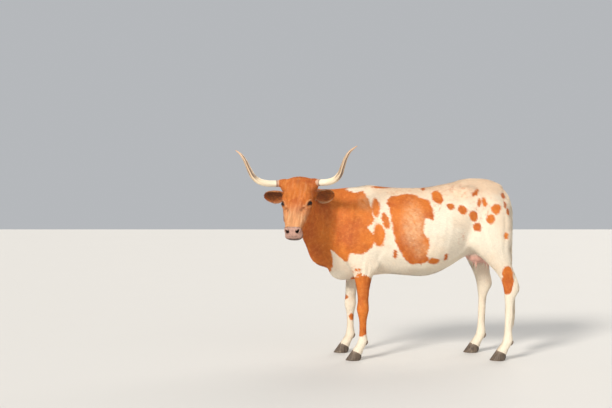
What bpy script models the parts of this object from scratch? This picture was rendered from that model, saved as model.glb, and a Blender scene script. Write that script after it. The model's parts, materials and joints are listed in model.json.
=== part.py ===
# A Texas longhorn cow, life size, standing with her head turned to her left.
# Metres, +Z up. She faces -X, and her left side is -Y. The body is modelled whole, in the
# stance frame: x runs back from a line a little ahead of the shoulders, y = 0 is the body's
# middle plane and z = 0 is the floor. It is then parted into nodes by thin cuts.
import math
import random

import bmesh
import bpy
import numpy as np
from mathutils import Matrix, Vector
from mathutils.bvhtree import BVHTree

# Driving dimensions
BOX_CENTRE = Vector((0.5675, -0.1093, 0.0))  # stance frame's point under the middle of the whole cow
GAP = 0.0003  # between two nodes that touch
VOXEL = 0.006  # size of the grid that fuses the body's forms
BODY_TRIANGLES = 5600  # trunk, neck, head and legs, before they are parted
HEAD_SHARE = 0.80  # how much the thinning spares the head

# Head: u runs from the poll down the face, v to her left, n out of the forehead
POLL = Vector((-0.056, -0.300, 1.434))
HEAD_TURN = math.radians(15.4)  # the face's heading, from square to the body's left side
HEAD_ROLL = math.radians(1.3)  # her left side up
FACE_SLOPE = math.radians(32)  # forehead line, from the vertical
EYE_RADIUS = 0.0205
EYE_SPOT = (0.206, 0.097, -0.044)
EYE_FUNNEL = [(0.006, 0.90), (0.021, 1.0), (0.040, 1.5)]  # how the opening widens outwards: depth, share  # u, v, n of the left eye's centre
EYE_OPENING = (0.0185, 0.0125, 0.0115)  # half length, reach above and below its line
LID_RADIUS = 0.0245
NOSTRIL_SPOT = (0.451, 0.044)  # u, v of the left one
NOSTRIL_RADII = (0.022, 0.0160, 0.0130)
MOUTH_DEPTH = -0.085  # n of the line of the mouth
MOUTH_PIVOT = 0.445  # u about which that line bends round the muzzle
MOUTH_GROOVE = 0.0028

# Trunk: x, top, bottom, half width, share of the height where it is widest, power above, below
TRUNK = [
    (0.150, 1.060, 0.740, 0.100, 0.50, 2.0, 2.0),
    (0.190, 1.170, 0.672, 0.150, 0.48, 2.0, 2.0),
    (0.280, 1.335, 0.622, 0.190, 0.45, 1.7, 1.8),
    (0.390, 1.360, 0.613, 0.212, 0.45, 1.7, 1.8),
    (0.510, 1.372, 0.640, 0.226, 0.44, 1.7, 1.9),
    (0.640, 1.359, 0.656, 0.250, 0.42, 1.8, 2.0),
    (0.790, 1.351, 0.646, 0.287, 0.42, 1.8, 2.1),
    (0.940, 1.355, 0.641, 0.308, 0.43, 1.8, 2.1),
    (1.060, 1.375, 0.676, 0.303, 0.46, 1.75, 2.1),
    (1.170, 1.398, 0.736, 0.277, 0.52, 1.75, 2.0),
    (1.280, 1.417, 0.805, 0.240, 0.60, 1.7, 2.0),
    (1.380, 1.421, 0.845, 0.215, 0.58, 1.7, 2.0),
    (1.470, 1.395, 0.900, 0.185, 0.55, 1.8, 2.0),
    (1.540, 1.345, 0.960, 0.150, 0.50, 1.9, 2.0),
    (1.585, 1.285, 1.020, 0.105, 0.50, 2.0, 2.0),
    (1.605, 1.220, 1.080, 0.060, 0.50, 2.0, 2.0),
]

# Neck: x, y, z, turn and rise of its line in degrees, half height up, down, half width,
# power above, below
NECK = [
    (0.470, 0.000, 1.020, 0, 8, 0.300, 0.320, 0.190, 2.0, 2.0),
    (0.300, -0.008, 1.045, 10, 14, 0.317, 0.357, 0.168, 1.8, 1.7),
    (0.170, -0.045, 1.090, 27, 20, 0.276, 0.362, 0.134, 1.7, 1.5),
    (0.075, -0.110, 1.140, 47, 25, 0.228, 0.270, 0.108, 1.7, 1.4),
    (0.005, -0.190, 1.190, 66, 25, 0.186, 0.204, 0.096, 1.8, 1.5),
    (-0.030, -0.262, 1.232, 76, 20, 0.150, 0.175, 0.090, 2.0, 1.8),
    (-0.045, -0.300, 1.250, 78, 15, 0.110, 0.130, 0.070, 2.0, 2.0),
]

# Head: u, n of the face line, n of the jaw line, half width, share of the depth where it is
# widest, power towards the face, towards the jaw
HEAD = [
    (-0.030, -0.045, -0.105, 0.050, 0.50, 2.0, 2.0),
    (-0.012, -0.018, -0.140, 0.092, 0.55, 2.2, 2.0),
    (0.020, 0.000, -0.165, 0.119, 0.60, 2.6, 1.9),
    (0.060, 0.004, -0.190, 0.121, 0.62, 2.9, 1.8),
    (0.110, 0.006, -0.215, 0.114, 0.64, 3.0, 1.8),
    (0.165, 0.006, -0.228, 0.109, 0.66, 3.0, 1.7),
    (0.210, 0.002, -0.226, 0.110, 0.65, 2.9, 1.7),
    (0.260, -0.006, -0.212, 0.107, 0.62, 2.9, 1.8),
    (0.310, -0.011, -0.192, 0.094, 0.60, 3.0, 1.9),
    (0.355, -0.013, -0.172, 0.081, 0.57, 3.0, 1.9),
    (0.390, -0.011, -0.158, 0.071, 0.55, 2.9, 2.0),
    (0.412, -0.013, -0.152, 0.066, 0.54, 2.8, 2.1),
    (0.434, -0.022, -0.148, 0.067, 0.54, 3.0, 2.1),
    (0.453, -0.036, -0.143, 0.068, 0.54, 3.0, 2.1),
    (0.470, -0.053, -0.135, 0.066, 0.52, 2.9, 2.1),
    (0.482, -0.072, -0.123, 0.052, 0.50, 2.5, 2.0),
    (0.487, -0.086, -0.110, 0.024, 0.50, 2.0, 2.0),
]

# Legs: z, front x, back x, inner and outer distance from the middle plane, power
FORELEG = [
    (1.060, 0.270, 0.520, 0.050, 0.195, 2.0),
    (0.960, 0.235, 0.555, 0.055, 0.222, 2.1),
    (0.870, 0.240, 0.575, 0.065, 0.236, 2.2),
    (0.790, 0.285, 0.570, 0.080, 0.238, 2.2),
    (0.720, 0.338, 0.548, 0.092, 0.230, 2.2),
    (0.640, 0.368, 0.514, 0.100, 0.216, 2.2),
    (0.560, 0.384, 0.492, 0.107, 0.205, 2.2),
    (0.480, 0.393, 0.482, 0.116, 0.199, 2.2),
    (0.430, 0.390, 0.483, 0.113, 0.204, 2.4),
    (0.390, 0.388, 0.483, 0.113, 0.206, 2.4),
    (0.350, 0.397, 0.474, 0.122, 0.199, 2.2),
    (0.300, 0.406, 0.466, 0.131, 0.190, 2.1),
    (0.220, 0.407, 0.465, 0.131, 0.190, 2.1),
    (0.175, 0.402, 0.472, 0.124, 0.197, 2.2),
    (0.145, 0.395, 0.475, 0.118, 0.203, 2.3),
    (0.115, 0.379, 0.460, 0.119, 0.202, 2.3),
    (0.085, 0.357, 0.443, 0.114, 0.207, 2.3),
    (0.050, 0.338, 0.432, 0.112, 0.209, 2.3),
    (0.020, 0.330, 0.420, 0.116, 0.205, 2.3),
]
HINDLEG = [
    (1.230, 1.280, 1.560, 0.030, 0.190, 2.0),
    (1.160, 1.240, 1.600, 0.025, 0.225, 2.1),
    (1.060, 1.232, 1.614, 0.030, 0.247, 2.2),
    (0.960, 1.245, 1.612, 0.038, 0.254, 2.3),
    (0.890, 1.272, 1.606, 0.048, 0.249, 2.3),
    (0.840, 1.315, 1.604, 0.060, 0.240, 2.3),
    (0.795, 1.372, 1.606, 0.074, 0.231, 2.3),
    (0.745, 1.425, 1.616, 0.090, 0.222, 2.2),
    (0.695, 1.474, 1.634, 0.106, 0.213, 2.2),
    (0.640, 1.512, 1.656, 0.119, 0.206, 2.0),
    (0.590, 1.534, 1.670, 0.125, 0.205, 2.0),
    (0.545, 1.545, 1.668, 0.123, 0.207, 2.1),
    (0.495, 1.552, 1.640, 0.129, 0.203, 2.2),
    (0.435, 1.559, 1.624, 0.137, 0.197, 2.1),
    (0.330, 1.557, 1.618, 0.138, 0.195, 2.1),
    (0.230, 1.553, 1.615, 0.137, 0.196, 2.1),
    (0.180, 1.547, 1.620, 0.130, 0.203, 2.2),
    (0.145, 1.538, 1.621, 0.124, 0.209, 2.3),
    (0.115, 1.520, 1.605, 0.125, 0.208, 2.3),
    (0.085, 1.497, 1.586, 0.120, 0.213, 2.3),
    (0.050, 1.478, 1.574, 0.118, 0.215, 2.3),
    (0.020, 1.470, 1.562, 0.122, 0.211, 2.3),
]
# Each leg: its table, the side it is on (-1 is her left), how far back its foot is set from the
# table's place, and the heights over which that shift grows from nothing to the whole of it
LEGS = {
    "foreleg_left": (FORELEG, -1, 0.010, 0.90, 0.45),
    "foreleg_right": (FORELEG, 1, -0.075, 0.90, 0.45),
    "hindleg_left": (HINDLEG, -1, 0.000, 1.05, 0.60),
    "hindleg_right": (HINDLEG, 1, -0.155, 1.05, 0.60),
}

# Muscles and bones that stand out: centre (y on one side), radii, lean about Y in degrees
PAIRED_FORMS = [
    ((0.405, 0.108, 1.060), (0.125, 0.082, 0.235), 14),  # shoulder blade
    ((0.275, 0.135, 0.930), (0.085, 0.068, 0.110), 0),  # point of the shoulder
    ((0.430, 0.165, 0.870), (0.135, 0.070, 0.120), 0),  # upper arm
    ((0.535, 0.170, 0.750), (0.045, 0.050, 0.060), 0),  # elbow
    ((1.255, 0.148, 1.312), (0.100, 0.058, 0.062), 0),  # hook bone
    ((1.548, 0.085, 1.215), (0.062, 0.050, 0.065), 0),  # pin bone
    ((1.450, 0.150, 1.090), (0.155, 0.088, 0.215), -12),  # thigh
    ((1.330, 0.172, 0.945), (0.075, 0.066, 0.100), 0),  # stifle
]
MIDDLE_FORMS = [
    ((0.290, 0.000, 0.712), (0.120, 0.085, 0.105), 0),  # brisket
    ((0.500, 0.000, 1.325), (0.130, 0.070, 0.050), 0),  # withers
    ((1.340, 0.000, 1.390), (0.170, 0.075, 0.038), 0),  # croup
    ((1.505, 0.000, 1.345), (0.070, 0.050, 0.050), 0),  # tail head
]

# Forms of the head in u, v, n: centre (v on one side), radii
PAIRED_HEAD_FORMS = [
    ((0.152, 0.084, -0.038), (0.050, 0.036, 0.040)),  # brow
    ((0.208, 0.090, -0.050), (0.042, 0.031, 0.031)),  # eye socket's rim
    ((0.215, 0.080, -0.140), (0.095, 0.034, 0.068)),  # cheek
    ((0.275, 0.079, -0.080), (0.075, 0.024, 0.026)),  # cheekbone
    ((0.110, 0.060, -0.185), (0.055, 0.036, 0.050)),  # angle of the jaw
    ((0.050, 0.104, -0.052), (0.052, 0.044, 0.040)),  # root of the horn
    ((0.428, 0.046, -0.042), (0.034, 0.024, 0.028)),  # wing of the nostril
    ((0.450, 0.046, -0.092), (0.036, 0.028, 0.022)),  # upper lip
]
MIDDLE_HEAD_FORMS = [
    ((0.012, 0.000, -0.050), (0.036, 0.122, 0.052)),  # poll
    ((0.456, 0.000, -0.074), (0.027, 0.054, 0.034)),  # muzzle
    ((0.430, 0.000, -0.132), (0.038, 0.044, 0.024)),  # chin
]

# Horn, in the upright frame of the head: across, forward, up from the poll, radius
HORN = [
    (0.086, -0.040, -0.042, 0.0270),
    (0.132, -0.020, -0.040, 0.0270),
    (0.187, 0.002, -0.040, 0.0255),
    (0.246, 0.030, -0.034, 0.0252),
    (0.300, 0.052, -0.014, 0.0242),
    (0.341, 0.070, 0.026, 0.0218),
    (0.367, 0.082, 0.086, 0.0182),
    (0.390, 0.085, 0.144, 0.0145),
    (0.423, 0.078, 0.195, 0.0100),
    (0.473, 0.060, 0.235, 0.0028),
]
HORN_DROOP = {1: math.radians(0.8), -1: math.radians(2.2)}  # her right horn hangs a little lower
COLLAR = [(0.100, 0.0350), (0.124, 0.0335), (0.144, 0.0305), (0.160, 0.0275)]  # hairy root: across, radius
COLLAR_SHARE = {1: 0.92, -1: 1.06}  # her left collar is seen shorter
COLLAR_STEP = 0.004
HORN_STEP = 0.030
HORN_SIDES = 14

# Ear, in the same frame: across, forward, up, half width, depth of its back, depth of its cup
EAR = [
    (0.080, -0.050, -0.126, 0.020, 0.018, -0.018),
    (0.112, -0.044, -0.136, 0.024, 0.022, -0.014),
    (0.134, -0.040, -0.143, 0.040, 0.032, 0.008),
    (0.160, -0.038, -0.148, 0.053, 0.037, 0.028),
    (0.195, -0.041, -0.151, 0.061, 0.034, 0.028),
    (0.228, -0.046, -0.151, 0.058, 0.028, 0.022),
    (0.256, -0.051, -0.149, 0.046, 0.020, 0.014),
    (0.275, -0.054, -0.147, 0.029, 0.013, 0.008),
    (0.284, -0.056, -0.146, 0.010, 0.007, 0.002),
]
EAR_SWEEP = {1: math.radians(33), -1: math.radians(2)}  # how far back each ear is turned
EAR_TILT = {1: 0.0, -1: math.radians(-16)}  # how far its cup is tipped, down where negative
EAR_LENGTH = {1: 0.95, -1: 1.045}
EAR_RIM = 0.0030
EAR_STEP = 0.018
EAR_ARC = 8  # steps round each of its two arcs

# Tail: x, z, radius, down the middle plane
TAIL = [
    (1.480, 1.352, 0.036),
    (1.538, 1.322, 0.031),
    (1.588, 1.268, 0.025),
    (1.615, 1.195, 0.0195),
    (1.625, 1.100, 0.0168),
    (1.626, 0.980, 0.0155),
    (1.626, 0.840, 0.0145),
    (1.627, 0.700, 0.0132),
    (1.628, 0.600, 0.0125),
    (1.629, 0.540, 0.0110),
    (1.630, 0.470, 0.0070),
    (1.630, 0.430, 0.0030),
]
SWITCH_TOP = 0.610
# Locks of the switch: how many, root height, length, widest half width, reach out from the tail
SWITCH_TIERS = [
    (5, 0.590, 0.270, 0.019, 0.030),
    (5, 0.535, 0.300, 0.020, 0.038),
    (4, 0.480, 0.270, 0.017, 0.022),
    (2, 0.450, 0.240, 0.015, 0.008),
]

# Udder: forms on one side, then the teats
UDDER_FORMS = [
    ((1.350, 0.045, 0.815), (0.085, 0.060, 0.068)),
    ((1.445, 0.048, 0.825), (0.085, 0.064, 0.080)),
]
UDDER_TRIANGLES = 560
TEATS = [(1.345, 0.050), (1.440, 0.048)]
TEAT_RADIUS = 0.0115
TEAT_TOP = 0.790
TEAT_TIP = 0.682

# Hooves, from the coronet's front edge: the toe's and the heel's slope and the claw's size
CORONET_FRONT = 0.080
CORONET_BACK = 0.046
TOE_SLOPE = math.radians(55)
HEEL_SLOPE = math.radians(66)
CLEFT = 0.006
CLAW_WIDTH = 0.047
DEWCLAW_HEIGHT = 0.138
DEWCLAW_SPREAD = 0.021

COLOURS = {
    "hide_red": ((0.56, 0.20, 0.06), 0.75),
    "hide_white": ((0.86, 0.78, 0.68), 0.75),
    "horn": ((0.80, 0.72, 0.58), 0.40),
    "hoof": ((0.16, 0.12, 0.09), 0.55),
    "eye": ((0.03, 0.02, 0.015), 0.10),
    "bare_skin": ((0.72, 0.47, 0.38), 0.60),
}


def clear_scene():
    for obj in list(bpy.data.objects):
        bpy.data.objects.remove(obj)


def material(slot):
    found = bpy.data.materials.get(slot) or bpy.data.materials.new(slot)
    found.use_nodes = True
    colour, roughness = COLOURS[slot]
    shader = found.node_tree.nodes["Principled BSDF"]
    shader.inputs["Base Color"].default_value = (*colour, 1)
    shader.inputs["Roughness"].default_value = roughness
    shader.inputs["Metallic"].default_value = 0.0
    return found


def object_of(name, bm, collection):
    mesh = bpy.data.meshes.new(name)
    bm.to_mesh(mesh)
    bm.free()
    obj = bpy.data.objects.new(name, mesh)
    collection.objects.link(obj)
    return obj


def copy_of(obj, name, collection):
    copy = bpy.data.objects.new(name, obj.data.copy())
    collection.objects.link(copy)
    return copy


def apply_modifiers(obj):
    graph = bpy.context.evaluated_depsgraph_get()
    mesh = bpy.data.meshes.new_from_object(obj.evaluated_get(graph))
    obj.modifiers.clear()
    obj.data = mesh


def boolean(obj, operation, other, solver="EXACT"):
    """Joins, cuts or clips obj with an object, or with all objects of a collection."""
    modifier = obj.modifiers.new("boolean", "BOOLEAN")
    modifier.operation = operation
    modifier.solver = solver
    if isinstance(other, bpy.types.Collection):
        modifier.operand_type = "COLLECTION"
        modifier.collection = other
    else:
        modifier.object = other
    apply_modifiers(obj)


def islands(bm):
    """The faces of each separate surface."""
    left = set(bm.faces)
    found = []
    while left:
        start = left.pop()
        group = [start]
        for face in group:
            for edge in face.edges:
                for near in edge.link_faces:
                    if near in left:
                        left.remove(near)
                        group.append(near)
        found.append(group)
    return found


def volume_of(faces):
    total = 0.0
    for face in faces:
        first = face.verts[0].co
        for a, b in zip(face.verts[1:], face.verts[2:]):
            total += first.dot(a.co.cross(b.co)) / 6
    return total


def keep_largest(obj):
    bm = bmesh.new()
    bm.from_mesh(obj.data)
    groups = sorted(islands(bm), key=volume_of)
    scraps = [face for group in groups[:-1] for face in group]
    bmesh.ops.delete(bm, geom=scraps, context="FACES")
    bm.to_mesh(obj.data)
    bm.free()


def cleaned(obj, distance=0.00003):
    """Merges points that a cut leaves all but on top of each other."""
    bm = bmesh.new()
    bm.from_mesh(obj.data)
    bmesh.ops.dissolve_degenerate(bm, edges=bm.edges, dist=distance)
    bmesh.ops.triangulate(bm, faces=bm.faces)
    bmesh.ops.dissolve_degenerate(bm, edges=bm.edges, dist=distance)
    bm.to_mesh(obj.data)
    bm.free()


def between(rows, step):
    """The rows with more of them put in on a smooth curve, about one a step along it."""
    table = np.array(rows, float)
    padded = np.vstack([2 * table[0] - table[1], table, 2 * table[-1] - table[-2]])
    made = []
    for i in range(len(table) - 1):
        a, b, c, d = padded[i : i + 4]
        count = max(1, round(float(np.linalg.norm((c - b)[:3])) / step))
        for k in range(count):
            t = k / count
            row = b + 0.5 * t * (c - a + t * (2 * a - 5 * b + 4 * c - d + t * (3 * (b - c) + d - a)))
            made.append(row)
    return made + [table[-1]]


def ring(centre, side, up, halves, powers, sides):
    """Points of a closed section: halves are its reach to the side, against it, up and down."""
    points = []
    for k in range(sides):
        angle = 2 * math.pi * k / sides
        c, s = math.cos(angle), math.sin(angle)
        power = powers[0] if s > 0 else powers[1]
        across = math.copysign(abs(c) ** (2 / power), c) * (halves[0] if c > 0 else halves[1])
        above = math.copysign(abs(s) ** (2 / power), s) * (halves[2] if s > 0 else halves[3])
        points.append(Vector(centre) + side * across + up * above)
    return points


def loft(name, rings, collection):
    """A closed skin over rings that each have the same number of points."""
    bm = bmesh.new()
    rows = [[bm.verts.new(point) for point in points] for points in rings]
    sides = len(rows[0])
    for low, high in zip(rows, rows[1:]):
        for k in range(sides):
            bm.faces.new((low[k], low[(k + 1) % sides], high[(k + 1) % sides], high[k]))
    bm.faces.new(rows[0][::-1])
    bm.faces.new(rows[-1])
    bmesh.ops.recalc_face_normals(bm, faces=bm.faces)
    return object_of(name, bm, collection)


def tube(name, points, radii, sides, collection):
    """A round tube along points, of the radius given at each."""
    rings = []
    side = None
    for k, point in enumerate(points):
        line = (points[min(k + 1, len(points) - 1)] - points[max(k - 1, 0)]).normalized()
        side = line.orthogonal() if side is None else side - line * side.dot(line)
        side.normalize()
        up = line.cross(side)
        r = radii[k]
        rings.append(ring(point, side, up, (r, r, r, r), (2, 2), sides))
    return loft(name, rings, collection)


def ellipsoid(name, centre, radii, turn, collection, segments=24):
    bm = bmesh.new()
    bmesh.ops.create_uvsphere(bm, u_segments=segments, v_segments=segments // 2, radius=1)
    bmesh.ops.transform(bm, matrix=Matrix.Diagonal((*radii, 1)), verts=bm.verts)
    bmesh.ops.transform(bm, matrix=turn.to_4x4(), verts=bm.verts)
    bmesh.ops.translate(bm, vec=Vector(centre), verts=bm.verts)
    bmesh.ops.recalc_face_normals(bm, faces=bm.faces)
    return object_of(name, bm, collection)


def slab(name, centre, normal, along, size, collection, thickness=GAP):
    """A thin plate square to normal, size long and wide, that parts a body in two."""
    normal = Vector(normal).normalized()
    along = (Vector(along) - normal * normal.dot(Vector(along))).normalized()
    turn = Matrix((along, normal.cross(along), normal)).transposed()
    bm = bmesh.new()
    bmesh.ops.create_cube(bm, size=1)
    bmesh.ops.scale(bm, vec=(size[0], size[1], thickness), verts=bm.verts)
    bmesh.ops.transform(bm, matrix=turn.to_4x4(), verts=bm.verts)
    bmesh.ops.translate(bm, vec=Vector(centre), verts=bm.verts)
    return object_of(name, bm, collection)


def head_axes():
    """The face's heading, across to her left, upright, and the head's u and n."""
    heading = Vector((-math.sin(HEAD_TURN), -math.cos(HEAD_TURN), 0))
    roll = Matrix.Rotation(HEAD_ROLL, 3, heading)
    across = roll @ Vector((math.cos(HEAD_TURN), -math.sin(HEAD_TURN), 0))
    upright = roll @ Vector((0, 0, 1))
    down = heading * math.sin(FACE_SLOPE) - upright * math.cos(FACE_SLOPE)
    out = heading * math.cos(FACE_SLOPE) + upright * math.sin(FACE_SLOPE)
    return heading, across, upright, down, out


def head_point(u, v, n):
    _, across, _, down, out = head_axes()
    return POLL + down * u + across * v + out * n


def upright_point(across_by, forward_by, up_by):
    """A point given from the poll across the head, forward along its heading, and up."""
    heading, across, upright, _, _ = head_axes()
    return POLL + across * across_by + heading * forward_by + upright * up_by


def trunk(collection):
    side, up = Vector((0, -1, 0)), Vector((0, 0, 1))
    rings = []
    for x, top, bottom, half, widest, above, below in between(TRUNK, 0.03):
        middle = bottom + widest * (top - bottom)
        halves = (half, half, top - middle, middle - bottom)
        rings.append(ring((x, 0, middle), side, up, halves, (above, below), 40))
    return loft("trunk", rings, collection)


def neck(collection):
    rings = []
    for x, y, z, turn, rise, up_by, down_by, half, above, below in between(NECK, 0.02):
        turn, rise = math.radians(turn), math.radians(rise)
        line = Vector((-math.cos(turn) * math.cos(rise), -math.sin(turn) * math.cos(rise), math.sin(rise)))
        side = Vector((-math.sin(turn), math.cos(turn), 0))
        up = side.cross(line)
        if up.z < 0:
            up = -up
        rings.append(ring((x, y, z), side, up, (half, half, up_by, down_by), (above, below), 36))
    return loft("neck_form", rings, collection)


def skull(collection):
    _, across, _, _, out = head_axes()
    rings = []
    for u, face, jaw, half, widest, above, below in between(HEAD, 0.012):
        middle = jaw + widest * (face - jaw)
        halves = (half, half, face - middle, middle - jaw)
        rings.append(ring(head_point(u, 0, middle), across, out, halves, (above, below), 40))
    return loft("skull", rings, collection)


def leg_shift(z, leg):
    _, _, shift, top, bottom = LEGS[leg]
    t = min(1, max(0, (top - z) / (top - bottom)))
    return shift * t * t * (3 - 2 * t)


def leg_form(name, collection):
    table, side, _, _, _ = LEGS[name]
    rings = []
    for z, front, back, inner, outer, power in between(table, 0.02):
        length, width = (back - front) / 2, (outer - inner) / 2
        centre = ((front + back) / 2 + leg_shift(z, name), side * (inner + outer) / 2, z)
        halves = (length, length, width, width)
        rings.append(ring(centre, Vector((1, 0, 0)), Vector((0, 1, 0)), halves, (power, power), 24))
    return loft(name + "_form", rings, collection)


def body_forms(collection):
    """The lofts and muscle forms that fuse into one body."""
    forms = [trunk(collection), neck(collection), skull(collection)]
    forms += [leg_form(name, collection) for name in LEGS]
    for (x, y, z), radii, lean in PAIRED_FORMS:
        turn = Matrix.Rotation(math.radians(lean), 3, "Y")
        for side in (-1, 1):
            forms.append(ellipsoid("form", (x, side * y, z), radii, turn, collection))
    for centre, radii, lean in MIDDLE_FORMS:
        turn = Matrix.Rotation(math.radians(lean), 3, "Y")
        forms.append(ellipsoid("form", centre, radii, turn, collection))
    _, across, _, down, out = head_axes()
    turn = Matrix((down, across, out)).transposed()
    for (u, v, n), radii in PAIRED_HEAD_FORMS:
        for side in (-1, 1):
            forms.append(ellipsoid("form", head_point(u, side * v, n), radii, turn, collection))
    for (u, v, n), radii in MIDDLE_HEAD_FORMS:
        forms.append(ellipsoid("form", head_point(u, v, n), radii, turn, collection))
    for side in (-1, 1):
        reach = [across * COLLAR_SHARE[side] for across, _ in COLLAR]
        rows = between(HORN, COLLAR_STEP)
        rows = [min(rows, key=lambda row: abs(row[0] - across)) for across in reach]
        points = horn_line(side, rows)
        forms.append(tube("collar", points, [radius for _, radius in COLLAR], 20, collection))
    return forms


def joined(name, objects, collection):
    bm = bmesh.new()
    for obj in objects:
        bm.from_mesh(obj.data)
        bpy.data.objects.remove(obj)
    return object_of(name, bm, collection)


def fuse(obj, voxel):
    modifier = obj.modifiers.new("fuse", "REMESH")
    modifier.mode = "VOXEL"
    modifier.voxel_size = voxel
    apply_modifiers(obj)


def smooth(obj, rounds, share_of):
    """Moves each vertex towards its neighbours' middle, by a share that depends on where it is."""
    mesh = obj.data
    count = len(mesh.vertices)
    points = np.empty(count * 3)
    mesh.vertices.foreach_get("co", points)
    points = points.reshape(-1, 3)
    ends = np.empty(len(mesh.edges) * 2, int)
    mesh.edges.foreach_get("vertices", ends)
    ends = ends.reshape(-1, 2)
    degree = np.bincount(ends.ravel(), minlength=count)[:, None]
    share = share_of(points)[:, None]
    for _ in range(rounds):
        total = np.zeros_like(points)
        for axis in range(3):
            total[:, axis] = np.bincount(ends[:, 0], points[ends[:, 1], axis], count)
            total[:, axis] += np.bincount(ends[:, 1], points[ends[:, 0], axis], count)
        points = points + share * (total / degree - points)
    mesh.vertices.foreach_set("co", points.ravel())
    mesh.update()


def head_distance(points):
    """Distance of each point from the middle of the head."""
    return np.linalg.norm(points - np.array(head_point(0.22, 0, -0.1)), axis=1)


def softness(points):
    """Full smoothing on the trunk and neck, little on the lower legs and the head."""
    height = np.clip((points[:, 2] - 0.55) / 0.3, 0.04, 1)
    away = np.clip((head_distance(points) - 0.27) / 0.12, 0.09, 1)
    return 0.5 * np.minimum(height, away)


def thin_out(obj, triangles):
    """Collapses edges down to so many triangles, fewer of them on the head."""
    points = np.empty(len(obj.data.vertices) * 3)
    obj.data.vertices.foreach_get("co", points)
    away = head_distance(points.reshape(-1, 3))
    group = obj.vertex_groups.new(name="thinned")
    for index, distance in enumerate(away):
        group.add([index], 1 - HEAD_SHARE * float(distance < 0.33), "REPLACE")
    modifier = obj.modifiers.new("thin out", "DECIMATE")
    modifier.use_collapse_triangulate = True
    modifier.ratio = triangles / (2 * len(obj.data.polygons))
    modifier.vertex_group = group.name
    modifier.vertex_group_factor = 0.004
    apply_modifiers(obj)
    obj.vertex_groups.clear()


def inflated(obj, by, name, collection):
    """A copy whose surface stands off by so much, to trim what meets the body."""
    copy = copy_of(obj, name, collection)
    bm = bmesh.new()
    bm.from_mesh(copy.data)
    bm.normal_update()
    moves = [(vert, vert.normal * (by * min(vert.calc_shell_factor(), 2))) for vert in bm.verts]
    for vert, move in moves:
        vert.co += move
    bm.to_mesh(copy.data)
    bm.free()
    return copy


def whole_body(collection):
    body = joined("body", body_forms(collection), collection)
    fuse(body, VOXEL)
    smooth(body, 90, softness)
    thin_out(body, BODY_TRIANGLES)
    return body


def eye_frame(side):
    """The eye's centre, where it looks, the line of its opening, and up across the lids."""
    _, across, _, down, out = head_axes()
    centre = head_point(EYE_SPOT[0], side * EYE_SPOT[1], EYE_SPOT[2])
    look = (across * side * 0.69 + out * 0.72 + down * 0.06).normalized()
    line = (down - across * side * 0.50 + out * 0.48).normalized()
    line = (line - look * line.dot(look)).normalized()
    return centre, look, line, look.cross(line) * side


def open_eyes(body, scraps):
    """Lids that bulge round each eye, the socket behind them, and the opening between."""
    for side in (-1, 1):
        centre, look, line, up = eye_frame(side)
        turn = Matrix((line, up, look)).transposed()
        lids = ellipsoid("lids", centre, (LID_RADIUS,) * 3, turn, scraps, 20)
        boolean(body, "UNION", lids)
        socket = ellipsoid("socket", centre, (EYE_RADIUS + GAP,) * 3, turn, scraps, 16)
        boolean(body, "DIFFERENCE", socket)
        long, above, below = EYE_OPENING
        rings = []
        for depth, flare in EYE_FUNNEL:
            halves = (long * flare, long * flare, above * flare, below * flare)
            rings.append(ring(centre + look * depth, line, up, halves, (1.55, 1.7), 14))
        boolean(body, "DIFFERENCE", loft("opening", rings, scraps))


def eyes(parts):
    for side, name in ((1, "eye_left"), (-1, "eye_right")):
        centre, look, line, up = eye_frame(side)
        turn = Matrix((line, up, look)).transposed()
        ellipsoid(name, centre, (EYE_RADIUS,) * 3, turn, parts, 16)


def open_nostrils(body, scraps):
    _, across, _, down, out = head_axes()
    bm = bmesh.new()
    bm.from_mesh(body.data)
    surface = BVHTree.FromBMesh(bm)
    bm.free()
    for side in (-1, 1):
        u, v = NOSTRIL_SPOT
        place = surface.ray_cast(head_point(u, side * v, 0.1), -out)[0] - out * 0.003
        inward = (out * 0.76 + down * 0.52 + across * side * 0.38).normalized()
        wide = (across * side * 0.85 + out * 0.50).normalized()
        wide = (wide - inward * wide.dot(inward)).normalized()
        turn = Matrix((inward, wide, inward.cross(wide))).transposed()
        cutter = ellipsoid("nostril", place, NOSTRIL_RADII, turn, scraps, 14)
        boolean(body, "DIFFERENCE", cutter)


def part_lips(body, scraps):
    """A groove along the line of the mouth, laid on the surface by rays from outside."""
    bm = bmesh.new()
    bm.from_mesh(body.data)
    surface = BVHTree.FromBMesh(bm)
    bm.free()
    _, across, _, down, out = head_axes()
    points = []
    for k in range(25):
        angle = math.radians(-128 + 256 * k / 24)
        away = (down * math.cos(angle) + across * math.sin(angle)).normalized()
        dip = 0.010 * max(0, abs(k - 12) / 12 - 0.55)
        middle = head_point(MOUTH_PIVOT, 0, MOUTH_DEPTH - dip)
        hit = surface.ray_cast(middle + away * 0.2, -away)[0]
        points.append(hit + away * 0.0004)
    radii = [MOUTH_GROOVE * min(1, 0.35 + min(k, 24 - k) * 0.3) for k in range(25)]
    boolean(body, "DIFFERENCE", tube("mouth", points, radii, 6, scraps))


def horn_line(side, rows):
    """Points of one horn's middle line, from rows of HORN's kind."""
    root = upright_point(side * HORN[0][0], *HORN[0][1:3])
    droop = Matrix.Rotation(-HORN_DROOP[side] * side, 3, head_axes()[0])
    return [root + droop @ (upright_point(side * row[0], row[1], row[2]) - root) for row in rows]


def horn(name, side, collection):
    rows = between(HORN, HORN_STEP)
    return tube(name, horn_line(side, rows), [row[3] for row in rows], HORN_SIDES, collection)


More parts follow.
